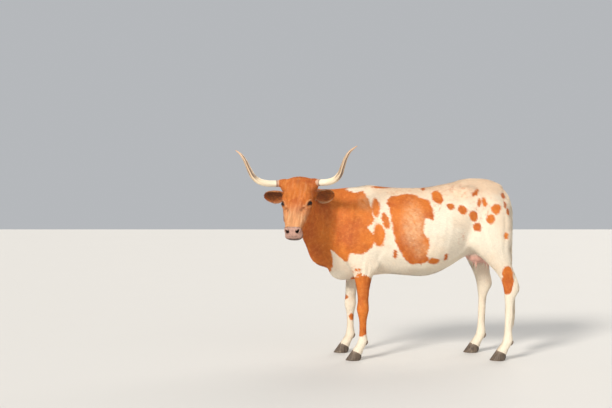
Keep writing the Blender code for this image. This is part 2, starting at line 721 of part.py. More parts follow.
def ear(name, side, collection):
    """A curled leaf: its back is one arc and its cup another, over a round root."""
    heading, across, upright, _, _ = head_axes()
    rows = between([(side * EAR_LENGTH[side] * row[0], *row[1:]) for row in EAR], EAR_STEP)
    root = upright_point(*rows[0][:3])
    sweep = Matrix.Rotation(EAR_SWEEP[side] * side, 3, upright)
    points = [root + sweep @ (upright_point(*row[:3]) - root) for row in rows]
    rings = []
    for k, (_, _, _, half, back, cup) in enumerate(rows):
        line = (points[min(k + 1, len(points) - 1)] - points[max(k - 1, 0)]).normalized()
        face = Matrix.Rotation(EAR_TILT[side] * side, 3, across) @ (heading * 0.93 - upright * 0.36)
        face = (face - line * face.dot(line)).normalized()
        wide = line.cross(face)
        arc = []
        for j in range(EAR_ARC + 1):
            angle = math.pi * j / EAR_ARC
            arc.append(points[k] + wide * (half * math.cos(angle)) - face * (back * math.sin(angle)))
        for j in range(EAR_ARC + 1):
            angle = math.pi * (1 - j / EAR_ARC)
            reach = max(half - EAR_RIM, half * 0.4)
            arc.append(points[k] + wide * (reach * math.cos(angle)) - face * (cup * math.sin(angle)))
        rings.append(arc)
    return loft(name, rings, collection)


def tail_point(z):
    """The tail's middle and radius at a height below its root."""
    for (x0, z0, r0), (x1, z1, r1) in zip(TAIL, TAIL[1:]):
        if z0 >= z >= z1:
            t = (z0 - z) / (z0 - z1)
            return Vector((x0 + (x1 - x0) * t, 0, z)), r0 + (r1 - r0) * t
    return Vector((TAIL[-1][0], 0, z)), TAIL[-1][2]


def tail(collection):
    rows = [row for row in between([(x, z, 0, r) for x, z, r in TAIL], 0.045) if row[1] > SWITCH_TOP + 0.004]
    points = [Vector((row[0], 0, row[1])) for row in rows]
    radii = [row[3] for row in rows]
    end, radius = tail_point(SWITCH_TOP)
    return tube("tail", points + [end], radii + [radius], 12, collection)


def switch_core(collection):
    heights = [SWITCH_TOP - GAP, 0.57, 0.52, 0.47, 0.42]
    points = [tail_point(z)[0] for z in heights]
    radii = [0.0125, 0.0190, 0.0200, 0.0150, 0.0050]
    return tube("tail_switch", points, radii, 12, collection)


def lock(root, out, length, half, reach, curl, collection):
    """One flat tapered lock that leaves the tail, hangs and turns a little."""
    across = Vector((0, 0, 1)).cross(out).normalized()
    rings = []
    shape = ((0.0, 0.6, 0.0), (0.24, 0.9, 0.7), (0.55, 1.0, 1.0), (0.82, 0.6, 0.9), (1.0, 0.08, 0.7))
    for share, width, stand in shape:
        sway = across * (curl * math.sin(share * 2.6) * half)
        point = root + out * (reach * stand) + sway - Vector((0, 0, length * share))
        turn = out * 1.0 + across * (0.4 * curl * share)
        turn.normalize()
        side = Vector((0, 0, 1)).cross(turn).normalized()
        thick = 0.0062 * (1 - 0.72 * share)
        halves = (half * width, half * width, thick, thick)
        rings.append(ring(point, side, turn, halves, (1.5, 1.5), 6))
    return loft("lock", rings, collection)


def tail_switch(scraps, locks):
    core = switch_core(scraps)
    rng = random.Random(7)
    for tier, (count, height, length, half, reach) in enumerate(SWITCH_TIERS):
        for k in range(count):
            angle = 2 * math.pi * (k + 0.5 * (tier % 2) + rng.uniform(-0.12, 0.12)) / count
            out = Vector((math.cos(angle), math.sin(angle), 0))
            middle, radius = tail_point(height)
            root = middle + out * (0.010 * rng.uniform(0.8, 1.1)) - Vector((0, 0, rng.uniform(-0.006, 0.006)))
            curl = rng.choice((-1, 1)) * rng.uniform(0.3, 0.9)
            lock(root, out, length * rng.uniform(0.88, 1.06), half * rng.uniform(0.9, 1.15),
                 reach * rng.uniform(0.8, 1.15), curl, locks)
    boolean(core, "UNION", locks)
    keep_largest(core)
    return core


def udder(collection):
    forms = []
    for (x, y, z), radii in UDDER_FORMS:
        for side in (-1, 1):
            forms.append(ellipsoid("form", (x, side * y, z), radii, Matrix.Identity(3), collection, 20))
    for x, y in TEATS:
        for side in (-1, 1):
            heights = (TEAT_TOP, 0.745, 0.715, 0.692, TEAT_TIP)
            radii = [TEAT_RADIUS * share for share in (1.5, 1.15, 1.0, 0.85, 0.4)]
            spread = side * (y + 0.006)
            points = [Vector((x, spread + side * 0.10 * (0.79 - z), z)) for z in heights]
            forms.append(tube("teat", points, radii, 12, collection))
    made = joined("udder", forms, collection)
    fuse(made, 0.004)
    smooth(made, 4, lambda points: np.full(len(points), 0.5))
    modifier = made.modifiers.new("thin out", "DECIMATE")
    modifier.use_collapse_triangulate = True
    modifier.ratio = UDDER_TRIANGLES / (2 * len(made.data.polygons))
    apply_modifiers(made)
    return made


def coronet_plane(leg):
    """A point on the coronet and the direction square to it, for one foot."""
    table, side, shift, _, _ = LEGS[leg]
    front = next(row[1] for row in table if row[0] == 0.085) + shift
    back = next(row[2] for row in table if row[0] == 0.050) + shift
    slope = (CORONET_BACK - CORONET_FRONT) / (back - front)
    return front, back, Vector((front, 0, CORONET_FRONT)), Vector((-slope, 0, 1)).normalized()


def cut_flat(obj, point, normal):
    """Cuts the mesh by a plane, keeps what is on the normal's side and closes the cut."""
    bm = bmesh.new()
    bm.from_mesh(obj.data)
    geometry = bm.verts[:] + bm.edges[:] + bm.faces[:]
    cut = bmesh.ops.bisect_plane(bm, geom=geometry, plane_co=point, plane_no=normal, clear_inner=True)
    edges = [item for item in cut["geom_cut"] if isinstance(item, bmesh.types.BMEdge)]
    bmesh.ops.edgenet_fill(bm, edges=edges)
    bmesh.ops.recalc_face_normals(bm, faces=bm.faces)
    bm.to_mesh(obj.data)
    bm.free()


def claw(leg, inner, collection):
    """One of a foot's two claws: flat towards the cleft, round outside, cut at the coronet."""
    table, side, _, _, _ = LEGS[leg]
    front, back, point, normal = coronet_plane(leg)
    row = next(row for row in table if row[0] == 0.050)
    middle = side * (row[3] + row[4]) / 2
    out = -side if inner else side
    name = f"{leg}_claw_{'inner' if inner else 'outer'}"
    rings = []
    for z, spread in ((0.0, 1.0), (0.012, 1.02), (0.035, 0.99), (0.060, 0.96), (0.082, 0.94), (0.100, 0.93)):
        toe = front - (CORONET_FRONT - z) / math.tan(TOE_SLOPE) - 0.001
        heel = back - (CORONET_BACK - z) / math.tan(HEEL_SLOPE) + 0.001
        half = (heel - toe) / 2
        width = CLAW_WIDTH * spread
        base = Vector(((heel + toe) / 2, middle + out * CLEFT / 2, z))
        halves = (half, half, width, 0.0005)
        points = ring(base, Vector((1, 0, 0)), Vector((0, out, 0)), halves, (2.3, 2.0), 18)
        for p in points:
            ahead = max(0, (base.x - p.x) / half)
            p.y -= out * 0.25 * width * ahead * ahead * (p.y - base.y) * out / width
        rings.append(points)
    made = loft(name, rings, collection)
    cut_flat(made, point - normal * GAP, -normal)
    return made


def dewclaw(leg, inner, collection):
    table, side, _, _, _ = LEGS[leg]
    row = next(row for row in table if row[0] == 0.145)
    out = -side if inner else side
    x = row[2] + leg_shift(0.145, leg) - 0.001
    y = side * (row[3] + row[4]) / 2 + out * DEWCLAW_SPREAD
    turn = Matrix.Rotation(math.radians(28), 3, "Y")
    name = f"{leg}_dewclaw_{'inner' if inner else 'outer'}"
    return ellipsoid(name, (x, y, DEWCLAW_HEIGHT), (0.016, 0.0125, 0.021), turn, collection, 10)


def part_body(body, cuts, parts):
    """Parts the whole body with thin plates into the nodes a person would name."""
    slab("neck_cut", (0.170, 0, 0.960), (-0.965, -0.06, 0.263), (0, 0, 1), (1.05, 0.62), cuts)
    slab("head_cut", (-0.020, -0.176, 1.225), (-0.335, -0.930, 0.12), (0, 0, 1), (0.86, 0.42), cuts)
    for side in (-1, 1):
        across = Vector((0, side * 0.655, 0.755))
        slab("fore_cut", (0.420, side * 0.185, 0.722), across.cross(Vector((1, 0, 0))),
             across, (0.310, 0.42), cuts)
        rise = Vector((1, 0, 0.45)).normalized()
        across = Vector((0, side, 0.45)).normalized()
        slab("hind_cut", (1.445, side * 0.172, 0.914), rise.cross(across), across, (0.310, 0.56), cuts)
    boolean(body, "DIFFERENCE", cuts)
    bm = bmesh.new()
    bm.from_mesh(body.data)
    groups = islands(bm)
    seeds = {
        "torso": (0.9, -0.3, 1.0),
        "neck": (0.09, -0.20, 1.10),
        "head": head_point(0.5, 0, -0.09),
    }
    for leg, (table, side, shift, _, _) in LEGS.items():
        seeds[leg] = ((table[-3][1] + table[-3][2]) / 2 + shift, side * 0.16, 0.3)
    centre_of = {}
    for name, seed in seeds.items():
        seed = Vector(seed)
        best = min(groups, key=lambda group: min((face.verts[0].co - seed).length for face in group))
        centre_of[name] = best
    for name, group in centre_of.items():
        piece = bmesh.new()
        made = {}
        for face in group:
            for vert in face.verts:
                if vert not in made:
                    made[vert] = piece.verts.new(vert.co)
            piece.faces.new([made[vert] for vert in face.verts])
        object_of(name, piece, parts)
    bm.free()
    bpy.data.objects.remove(body)


def feet(parts, shell):
    for leg in LEGS:
        _, _, point, normal = coronet_plane(leg)
        cut_flat(parts.objects[leg], point, normal)
        for inner in (False, True):
            claw(leg, inner, parts)
            boolean(dewclaw(leg, inner, parts), "DIFFERENCE", shell)


def grow(parts, shell, scraps, locks):
    """What grows from the body, each trimmed to meet it with the gap between touching nodes."""
    for side, label in ((1, "left"), (-1, "right")):
        boolean(horn(f"horn_{label}", side, parts), "DIFFERENCE", shell)
        boolean(ear(f"ear_{label}", side, parts), "DIFFERENCE", shell)
    made = udder(scraps)
    parts.objects.link(made)
    scraps.objects.unlink(made)
    boolean(made, "DIFFERENCE", shell)
    boolean(tail(parts), "DIFFERENCE", shell)
    switch = tail_switch(scraps, locks)
    parts.objects.link(switch)
    scraps.objects.unlink(switch)


def slot_of(name):
    if "claw" in name:
        return "hoof"
    if "horn" in name or "eye" in name:
        return "horn" if "horn" in name else "eye"
    if name == "udder":
        return "bare_skin"
    return "hide_red" if name in ("head", "neck", "ear_left", "ear_right") else "hide_white"


def finish(parts):
    origin = bpy.data.objects.new("origin", None)
    parts.objects.link(origin)
    origin.location = -BOX_CENTRE
    for obj in list(parts.objects):
        if obj.type != "MESH":
            continue
        keep_largest(obj)
        cleaned(obj)
        obj.data.name = obj.name
        obj.data.materials.clear()
        obj.data.materials.append(material(slot_of(obj.name)))
        obj.data.shade_smooth()
        obj.data.set_sharp_from_angle(angle=math.radians(50))
        obj.parent = origin


def main():
    clear_scene()
    collections = {}
    for name in ("texas_longhorn", "scraps", "cuts", "locks"):
        collections[name] = bpy.data.collections.new(name)
        bpy.context.scene.collection.children.link(collections[name])
    parts, scraps = collections["texas_longhorn"], collections["scraps"]
    body = whole_body(scraps)
    shell = inflated(body, GAP, "shell", scraps)
    open_eyes(body, scraps)
    open_nostrils(body, scraps)
    part_lips(body, scraps)
    part_body(body, collections["cuts"], parts)
    eyes(parts)
    feet(parts, shell)
    grow(parts, shell, scraps, collections["locks"])
    for name in ("scraps", "cuts", "locks"):
        for obj in list(collections[name].objects):
            bpy.data.objects.remove(obj)
    finish(parts)


main()
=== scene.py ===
import json
import math
import time

import bmesh
import bpy
import numpy as np
from mathutils import Matrix, Vector
from mathutils.bvhtree import BVHTree

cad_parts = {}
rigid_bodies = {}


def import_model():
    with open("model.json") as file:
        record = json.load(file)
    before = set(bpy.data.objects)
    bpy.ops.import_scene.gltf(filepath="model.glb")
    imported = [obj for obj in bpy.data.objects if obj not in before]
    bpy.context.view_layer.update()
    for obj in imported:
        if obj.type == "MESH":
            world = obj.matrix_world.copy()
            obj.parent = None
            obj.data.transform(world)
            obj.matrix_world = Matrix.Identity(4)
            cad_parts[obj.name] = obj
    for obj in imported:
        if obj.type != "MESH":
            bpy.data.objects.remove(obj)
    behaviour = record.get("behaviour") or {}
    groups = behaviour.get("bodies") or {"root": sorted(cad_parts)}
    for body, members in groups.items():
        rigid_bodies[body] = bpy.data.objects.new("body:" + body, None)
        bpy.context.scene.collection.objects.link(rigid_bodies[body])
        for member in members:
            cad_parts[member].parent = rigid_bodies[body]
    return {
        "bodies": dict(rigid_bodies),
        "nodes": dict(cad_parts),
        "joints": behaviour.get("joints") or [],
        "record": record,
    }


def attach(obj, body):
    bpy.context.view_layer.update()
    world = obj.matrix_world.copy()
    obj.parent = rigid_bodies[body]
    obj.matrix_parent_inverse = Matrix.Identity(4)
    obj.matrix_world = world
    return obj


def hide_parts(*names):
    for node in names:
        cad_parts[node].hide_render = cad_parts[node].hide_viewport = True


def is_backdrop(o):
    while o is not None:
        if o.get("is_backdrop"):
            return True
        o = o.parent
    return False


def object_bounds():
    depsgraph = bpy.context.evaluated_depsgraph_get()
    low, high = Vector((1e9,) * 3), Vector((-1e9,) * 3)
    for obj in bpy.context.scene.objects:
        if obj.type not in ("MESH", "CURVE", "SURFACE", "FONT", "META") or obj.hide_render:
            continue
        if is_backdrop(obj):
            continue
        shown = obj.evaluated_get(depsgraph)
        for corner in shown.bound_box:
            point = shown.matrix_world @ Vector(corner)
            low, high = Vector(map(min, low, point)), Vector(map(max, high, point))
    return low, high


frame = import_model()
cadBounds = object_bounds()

# A spotted longhorn cow, life size. Everything is worked out in her stance frame: x runs back
# from just ahead of the shoulders, -y is her left side, z = 0 is the floor. Finished meshes are
# then shifted so that the floor point under the middle of her box is the origin.
boxCentre = Vector((0.5675, -0.1093, 0.0))
started = time.time()
rng = np.random.default_rng(11)


def stage(words):
    print(f"{time.time() - started:6.1f} s  {words}")


# Vector maths on arrays of points

def unit(vectors):
    return vectors / np.maximum(np.linalg.norm(vectors, axis=-1, keepdims=True), 1e-12)


def ease(values, low, high):  # 0 at low, 1 at high, smooth between
    t = np.clip((values - low) / (high - low), 0, 1)
    return t * t * (3 - 2 * t)


def mixed(first, second, share):
    return first * (1 - share) + second * share


def hump(values, middle, width):  # 1 at the middle, dying away on both sides
    return np.exp(-(((values - middle) / width) ** 2))


def pointsOf(mesh):
    points = np.empty(len(mesh.vertices) * 3)
    mesh.vertices.foreach_get("co", points)
    return points.reshape(-1, 3)


def normalsOf(mesh):
    normals = np.empty(len(mesh.vertices) * 3)
    mesh.vertex_normals.foreach_get("vector", normals)
    return normals.reshape(-1, 3)


def setPoints(mesh, points):
    mesh.vertices.foreach_set("co", np.asarray(points, np.float64).ravel())
    mesh.update()


# Making and joining meshes

def openMesh(mesh):
    bm = bmesh.new()
    bm.from_mesh(mesh)
    return bm


def closeMesh(bm, mesh):
    bm.to_mesh(mesh)
    bm.free()


def placeObject(name, data):
    obj = bpy.data.objects.new(name, data)
    bpy.context.scene.collection.objects.link(obj)
    return obj


def newObject(name, bm):
    mesh = bpy.data.meshes.new(name)
    closeMesh(bm, mesh)
    return placeObject(name, mesh)


def fillHoles(bm):
    bmesh.ops.holes_fill(bm, edges=[edge for edge in bm.edges if edge.is_boundary], sides=0)


def splitFaces(bm, most):  # those with more corners than that become triangles
    bmesh.ops.triangulate(bm, faces=[face for face in bm.faces if len(face.verts) > most])


def soften(bm, verts, rounds=1):
    axes = {"use_axis_x": True, "use_axis_y": True, "use_axis_z": True}
    for _ in range(rounds):
        bmesh.ops.smooth_vert(bm, verts=verts, factor=0.5, **axes)


def once(items):  # each item once, in the order in which they come, so that each run gives the same mesh
    return list(dict.fromkeys(items))


def extruded(bm, edges):  # the new vertices
    made = bmesh.ops.extrude_edge_only(bm, edges=edges)["geom"]
    return dict.fromkeys(item for item in made if isinstance(item, bmesh.types.BMVert))


def applyModifiers(obj):
    graph = bpy.context.evaluated_depsgraph_get()
    mesh = bpy.data.meshes.new_from_object(obj.evaluated_get(graph))
    obj.modifiers.clear()
    obj.data = mesh


def joinObjects(name, objects):  # in one mesh, still loose from each other
    bm = bmesh.new()
    for obj in objects:
        bm.from_mesh(obj.data)
        bpy.data.objects.remove(obj)
    return newObject(name, bm)


def addSolid(obj, other):  # one closed surface of both
    modifier = obj.modifiers.new("union", "BOOLEAN")
    modifier.operation = "UNION"
    modifier.solver = "MANIFOLD"
    modifier.object = other
    applyModifiers(obj)
    bpy.data.objects.remove(other)


def finishPiece(obj, material, slot, *nodes):
    obj.data.transform(Matrix.Translation(-boxCentre))
    obj.data.materials.clear()
    obj.data.materials.append(material)
    obj.data.shade_smooth()
    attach(obj, "root")
    if nodes:
        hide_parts(*nodes)
    return obj


def keepAttribute(mesh, name, values, kind="FLOAT"):
    layer = mesh.attributes.new(name, kind, "POINT")
    field = "value" if kind == "FLOAT" else "vector"
    layer.data.foreach_set(field, np.asarray(values, np.float32).ravel())


def between(rows, step):  # a smooth curve through the rows, with about one row a step
    table = np.array(rows, float)
    padded = np.vstack([2 * table[0] - table[1], table, 2 * table[-1] - table[-2]])
    made = []
    for i in range(len(table) - 1):
        a, b, c, d = padded[i : i + 4]
        count = max(1, round(float(np.linalg.norm((c - b)[:3])) / step))
        for k in range(count):
            t = k / count
            bend = 2 * a - 5 * b + 4 * c - d + t * (3 * (b - c) + d - a)
            made.append(b + 0.5 * t * (c - a + t * bend))
    return made + [table[-1]]


# halves: how far the ring reaches to its side, against it, up and down. powers: 2 is round, more is
# squarer, for its upper and its lower half.
def ringPoints(centre, side, up, halves, powers, sides):
    points = []
    for k in range(sides):
        angle = 2 * math.pi * k / sides
        c, s = math.cos(angle), math.sin(angle)
        power = powers[0] if s > 0 else powers[1]
        across = math.copysign(abs(c) ** (2 / power), c) * (halves[0] if c > 0 else halves[1])
        above = math.copysign(abs(s) ** (2 / power), s) * (halves[2] if s > 0 else halves[3])
        points.append(Vector(centre) + side * across + up * above)
    return points


def loft(name, rings):  # each ring is extruded from the last one, and both ends are filled
    bm = bmesh.new()
    row = bmesh.ops.create_circle(bm, segments=len(rings[0]), radius=1)["verts"]
    for vert, point in zip(row, rings[0]):
        vert.co = point
    edges = bm.edges[:]
    for points in rings[1:]:
        fresh = extruded(bm, edges)
        row = [next(e.other_vert(v) for e in v.link_edges if e.other_vert(v) in fresh) for v in row]
        for vert, point in zip(row, points):
            vert.co = point
        edges = once(e for v in row for e in v.link_edges if e.other_vert(v) in fresh)
    fillHoles(bm)
    bmesh.ops.recalc_face_normals(bm, faces=bm.faces)
    return newObject(name, bm)


def lineAt(points, k):  # the way that a line of points runs at one of them
    return (points[min(k + 1, len(points) - 1)] - points[max(k - 1, 0)]).normalized()


def turned(degrees, axis):
    return Matrix.Rotation(math.radians(degrees), 3, axis)


def tube(name, points, radii, sides):
    rings = []
    side = None
    for k, point in enumerate(points):
        line = lineAt(points, k)
        side = line.orthogonal() if side is None else side - line * side.dot(line)
        side.normalize()
        r = radii[k]
        rings.append(ringPoints(point, side, line.cross(side), (r, r, r, r), (2, 2), sides))
    return loft(name, rings)


def ball(name, centre, radii, turn, segments=32):
    bm = bmesh.new()
    bmesh.ops.create_uvsphere(bm, u_segments=segments, v_segments=segments // 2, radius=1)
    place = Matrix.Translation(centre) @ turn.to_4x4() @ Matrix.Diagonal((*radii, 1))
    bmesh.ops.transform(bm, matrix=place, verts=bm.verts)
    bmesh.ops.recalc_face_normals(bm, faces=bm.faces)
    return newObject(name, bm)


# The trunk: x, top, bottom, half width, share of the height where widest, power above, below
trunk = {
    "sides": 40,
    "step": 0.03,
    "rows": [
        (0.150, 1.060, 0.740, 0.100, 0.50, 2.0, 2.0),
        (0.190, 1.170, 0.672, 0.150, 0.48, 2.0, 2.0),
        (0.280, 1.335, 0.622, 0.190, 0.45, 1.7, 1.8),
        (0.390, 1.360, 0.613, 0.212, 0.45, 1.7, 1.8),
        (0.510, 1.372, 0.640, 0.226, 0.44, 1.7, 1.9),
        (0.640, 1.359, 0.656, 0.250, 0.42, 1.8, 2.0),
        (0.790, 1.351, 0.646, 0.287, 0.42, 1.8, 2.1),
        (0.940, 1.355, 0.641, 0.308, 0.43, 1.8, 2.1),
        (1.060, 1.375, 0.676, 0.303, 0.46, 1.75, 2.1),
        (1.170, 1.398, 0.736, 0.277, 0.52, 1.75, 2.0),
        (1.280, 1.417, 0.805, 0.240, 0.60, 1.7, 2.0),
        (1.380, 1.421, 0.845, 0.215, 0.58, 1.7, 2.0),
        (1.470, 1.395, 0.900, 0.185, 0.55, 1.8, 2.0),
        (1.540, 1.345, 0.960, 0.150, 0.50, 1.9, 2.0),
        (1.585, 1.285, 1.020, 0.105, 0.50, 2.0, 2.0),
        (1.605, 1.220, 1.080, 0.060, 0.50, 2.0, 2.0),
    ],
}

# The neck: x, y, z, turn and rise of its line, half height up and down, half width, powers
neck = {
    "sides": 36,
    "step": 0.02,
    "rows": [
        (0.470, 0.000, 1.020, 0, 8, 0.300, 0.320, 0.190, 2.0, 2.0),
        (0.300, -0.008, 1.045, 10, 14, 0.317, 0.357, 0.168, 1.8, 1.7),
        (0.170, -0.045, 1.090, 27, 20, 0.276, 0.362, 0.134, 1.7, 1.5),
        (0.075, -0.110, 1.140, 47, 25, 0.228, 0.270, 0.108, 1.7, 1.4),
        (0.005, -0.190, 1.190, 66, 25, 0.186, 0.204, 0.096, 1.8, 1.5),
        (-0.030, -0.262, 1.232, 76, 20, 0.150, 0.175, 0.090, 2.0, 1.8),
        (-0.045, -0.300, 1.250, 78, 15, 0.110, 0.130, 0.070, 2.0, 2.0),
    ],
}

# The head: u runs from the poll down the face, v to her left and n out of the forehead.
# Rows: u, n of the face line, n of the jaw line, half width, share where widest, powers
head = {
    "poll": (-0.056, -0.300, 1.434),
    "turn": 15.4,
    "roll": 1.3,
    "slope": 32,
    "centre": (0.22, 0, -0.1),
    "sides": 48,
    "step": 0.010,
    "rows": [
        (-0.030, -0.045, -0.105, 0.050, 0.50, 2.0, 2.0),
        (-0.012, -0.018, -0.140, 0.092, 0.55, 2.2, 2.0),
        (0.020, 0.000, -0.165, 0.119, 0.60, 2.6, 1.9),
        (0.060, 0.004, -0.190, 0.121, 0.62, 2.9, 1.8),
        (0.110, 0.006, -0.215, 0.114, 0.64, 3.0, 1.8),
        (0.165, 0.006, -0.228, 0.109, 0.66, 3.0, 1.7),
        (0.210, 0.002, -0.226, 0.110, 0.65, 2.9, 1.7),
        (0.260, -0.006, -0.212, 0.107, 0.62, 2.9, 1.8),
        (0.310, -0.011, -0.192, 0.094, 0.60, 3.0, 1.9),
        (0.355, -0.013, -0.172, 0.081, 0.57, 3.0, 1.9),
        (0.390, -0.011, -0.158, 0.071, 0.55, 2.9, 2.0),
        (0.412, -0.013, -0.152, 0.066, 0.54, 2.8, 2.1),
        (0.434, -0.022, -0.148, 0.067, 0.54, 3.0, 2.1),
        (0.453, -0.036, -0.143, 0.068, 0.54, 3.0, 2.1),
        (0.470, -0.053, -0.135, 0.066, 0.52, 2.9, 2.1),
        (0.482, -0.072, -0.123, 0.052, 0.50, 2.5, 2.0),
        (0.487, -0.086, -0.110, 0.024, 0.50, 2.0, 2.0),
    ],
    # centre in u, v, n and radii: first those on both sides, then those in the middle
    "paired": [
        ((0.152, 0.084, -0.038), (0.050, 0.036, 0.040)),  # brow
        ((0.208, 0.090, -0.050), (0.042, 0.031, 0.031)),  # rim of the eye socket
        ((0.215, 0.080, -0.140), (0.095, 0.034, 0.068)),  # cheek
        ((0.275, 0.079, -0.080), (0.075, 0.024, 0.026)),  # cheekbone
        ((0.110, 0.060, -0.185), (0.055, 0.036, 0.050)),  # angle of the jaw
        ((0.050, 0.104, -0.052), (0.052, 0.044, 0.040)),  # root of the horn
        ((0.428, 0.046, -0.042), (0.034, 0.024, 0.028)),  # wing of the nostril
        ((0.450, 0.046, -0.092), (0.036, 0.028, 0.022)),  # upper lip
    ],
    "middle": [
        ((0.012, 0.000, -0.050), (0.036, 0.122, 0.052)),  # poll
        ((0.456, 0.000, -0.074), (0.027, 0.054, 0.034)),  # muzzle
        ((0.430, 0.000, -0.132), (0.038, 0.044, 0.024)),  # chin
    ],
}

# The legs: z, front x, back x, inner and outer distance from the middle plane, power
legs = {
    "sides": 28,
    "step": 0.015,
    "fore": [
        (1.060, 0.270, 0.520, 0.050, 0.195, 2.0),
        (0.960, 0.235, 0.555, 0.055, 0.222, 2.1),
        (0.870, 0.240, 0.575, 0.065, 0.236, 2.2),
        (0.790, 0.285, 0.570, 0.080, 0.238, 2.2),
        (0.720, 0.338, 0.548, 0.092, 0.230, 2.2),
        (0.640, 0.368, 0.514, 0.100, 0.216, 2.2),
        (0.560, 0.384, 0.492, 0.107, 0.205, 2.2),
        (0.480, 0.393, 0.482, 0.116, 0.199, 2.2),
        (0.430, 0.390, 0.483, 0.113, 0.204, 2.4),
        (0.390, 0.388, 0.483, 0.113, 0.206, 2.4),
        (0.350, 0.397, 0.474, 0.122, 0.199, 2.2),
        (0.300, 0.406, 0.466, 0.131, 0.190, 2.1),
        (0.220, 0.407, 0.465, 0.131, 0.190, 2.1),
        (0.175, 0.402, 0.472, 0.124, 0.197, 2.2),
        (0.145, 0.395, 0.475, 0.118, 0.203, 2.3),
        (0.115, 0.379, 0.460, 0.119, 0.202, 2.3),
        (0.085, 0.357, 0.443, 0.114, 0.207, 2.3),
        (0.050, 0.338, 0.432, 0.112, 0.209, 2.3),
        (0.020, 0.330, 0.420, 0.116, 0.205, 2.3),
    ],
    "hind": [
        (1.230, 1.280, 1.560, 0.030, 0.190, 2.0),
        (1.160, 1.240, 1.600, 0.025, 0.225, 2.1),
        (1.060, 1.232, 1.614, 0.030, 0.247, 2.2),
        (0.960, 1.245, 1.612, 0.038, 0.254, 2.3),
        (0.890, 1.272, 1.606, 0.048, 0.249, 2.3),
        (0.840, 1.315, 1.604, 0.060, 0.240, 2.3),
        (0.795, 1.372, 1.606, 0.074, 0.231, 2.3),
        (0.745, 1.425, 1.616, 0.090, 0.222, 2.2),
        (0.695, 1.474, 1.634, 0.106, 0.213, 2.2),
        (0.640, 1.512, 1.656, 0.119, 0.206, 2.0),
        (0.590, 1.534, 1.670, 0.125, 0.205, 2.0),
        (0.545, 1.545, 1.668, 0.123, 0.207, 2.1),
        (0.495, 1.552, 1.640, 0.129, 0.203, 2.2),
        (0.435, 1.559, 1.624, 0.137, 0.197, 2.1),
        (0.330, 1.557, 1.618, 0.138, 0.195, 2.1),
        (0.230, 1.553, 1.615, 0.137, 0.196, 2.1),
        (0.180, 1.547, 1.620, 0.130, 0.203, 2.2),
        (0.145, 1.538, 1.621, 0.124, 0.209, 2.3),
        (0.115, 1.520, 1.605, 0.125, 0.208, 2.3),
        (0.085, 1.497, 1.586, 0.120, 0.213, 2.3),
        (0.050, 1.478, 1.574, 0.118, 0.215, 2.3),
        (0.020, 1.470, 1.562, 0.122, 0.211, 2.3),
    ],
    # rows, side (-1 is her left), how far back the foot is set, and the heights where that starts and ends
    "stance": {
        "foreleg_left": ("fore", -1, 0.010, 0.90, 0.45),
        "foreleg_right": ("fore", 1, -0.075, 0.90, 0.45),
        "hindleg_left": ("hind", -1, 0.000, 1.05, 0.60),
        "hindleg_right": ("hind", 1, -0.155, 1.05, 0.60),
    },
}

# Muscles and bones that stand out: centre, radii, lean in degrees
muscles = {
    "paired": [
        ((0.405, 0.108, 1.060), (0.125, 0.082, 0.235), 14),  # shoulder blade
        ((0.275, 0.135, 0.930), (0.085, 0.068, 0.110), 0),  # point of the shoulder
        ((0.430, 0.165, 0.870), (0.135, 0.070, 0.120), 0),  # upper arm
        ((0.535, 0.170, 0.750), (0.045, 0.050, 0.060), 0),  # elbow
        ((1.255, 0.148, 1.312), (0.100, 0.058, 0.062), 0),  # hook bone
        ((1.548, 0.085, 1.215), (0.062, 0.050, 0.065), 0),  # pin bone
        ((1.450, 0.150, 1.090), (0.155, 0.088, 0.215), -12),  # thigh
        ((1.330, 0.172, 0.945), (0.075, 0.066, 0.100), 0),  # stifle
        ((1.350, 0.045, 0.815), (0.085, 0.060, 0.068), 0),  # udder, fore quarter
        ((1.445, 0.048, 0.825), (0.085, 0.064, 0.080), 0),  # udder, rear quarter
    ],
    "middle": [
        ((0.290, 0.000, 0.712), (0.120, 0.085, 0.105), 0),  # brisket
        ((0.500, 0.000, 1.325), (0.130, 0.070, 0.050), 0),  # withers
        ((1.340, 0.000, 1.390), (0.170, 0.075, 0.038), 0),  # croup
        ((1.505, 0.000, 1.345), (0.070, 0.050, 0.050), 0),  # tail head
    ],
}
teats = {
    "sides": 20,
    "places": [(1.345, 0.050), (1.440, 0.048)],
    "outward": 0.006,
    "lean": 0.10,
    "heights": (0.790, 0.745, 0.715, 0.692, 0.682),
    "radii": (0.0172, 0.0132, 0.0115, 0.0098, 0.0046),
}

# Horn in the upright frame of the head: across, forward, up from the poll, radius
horn = {
    "droop": {1: 0.8, -1: 2.2},
    "sides": 56,
    "step": 0.006,
    "collarSides": 24,
    "collarStep": 0.004,
    "collar": (0.0350, 0.0335, 0.0305, 0.0275),
    "collarReach": (0.100, 0.124, 0.144, 0.160),
    "collarShare": {1: 0.95, -1: 1.06},
    "hidden": {1: 0.103, -1: 0.120},  # the share of its length that the skin covers
    "rows": [
        (0.086, -0.040, -0.042, 0.0270),
        (0.132, -0.020, -0.040, 0.0270),
        (0.187, 0.002, -0.040, 0.0255),
        (0.246, 0.030, -0.034, 0.0252),
        (0.300, 0.052, -0.014, 0.0242),
        (0.341, 0.070, 0.026, 0.0218),
        (0.367, 0.082, 0.086, 0.0182),
        (0.390, 0.085, 0.144, 0.0145),
        (0.423, 0.078, 0.195, 0.0100),
        (0.473, 0.060, 0.235, 0.0028),
    ],
}

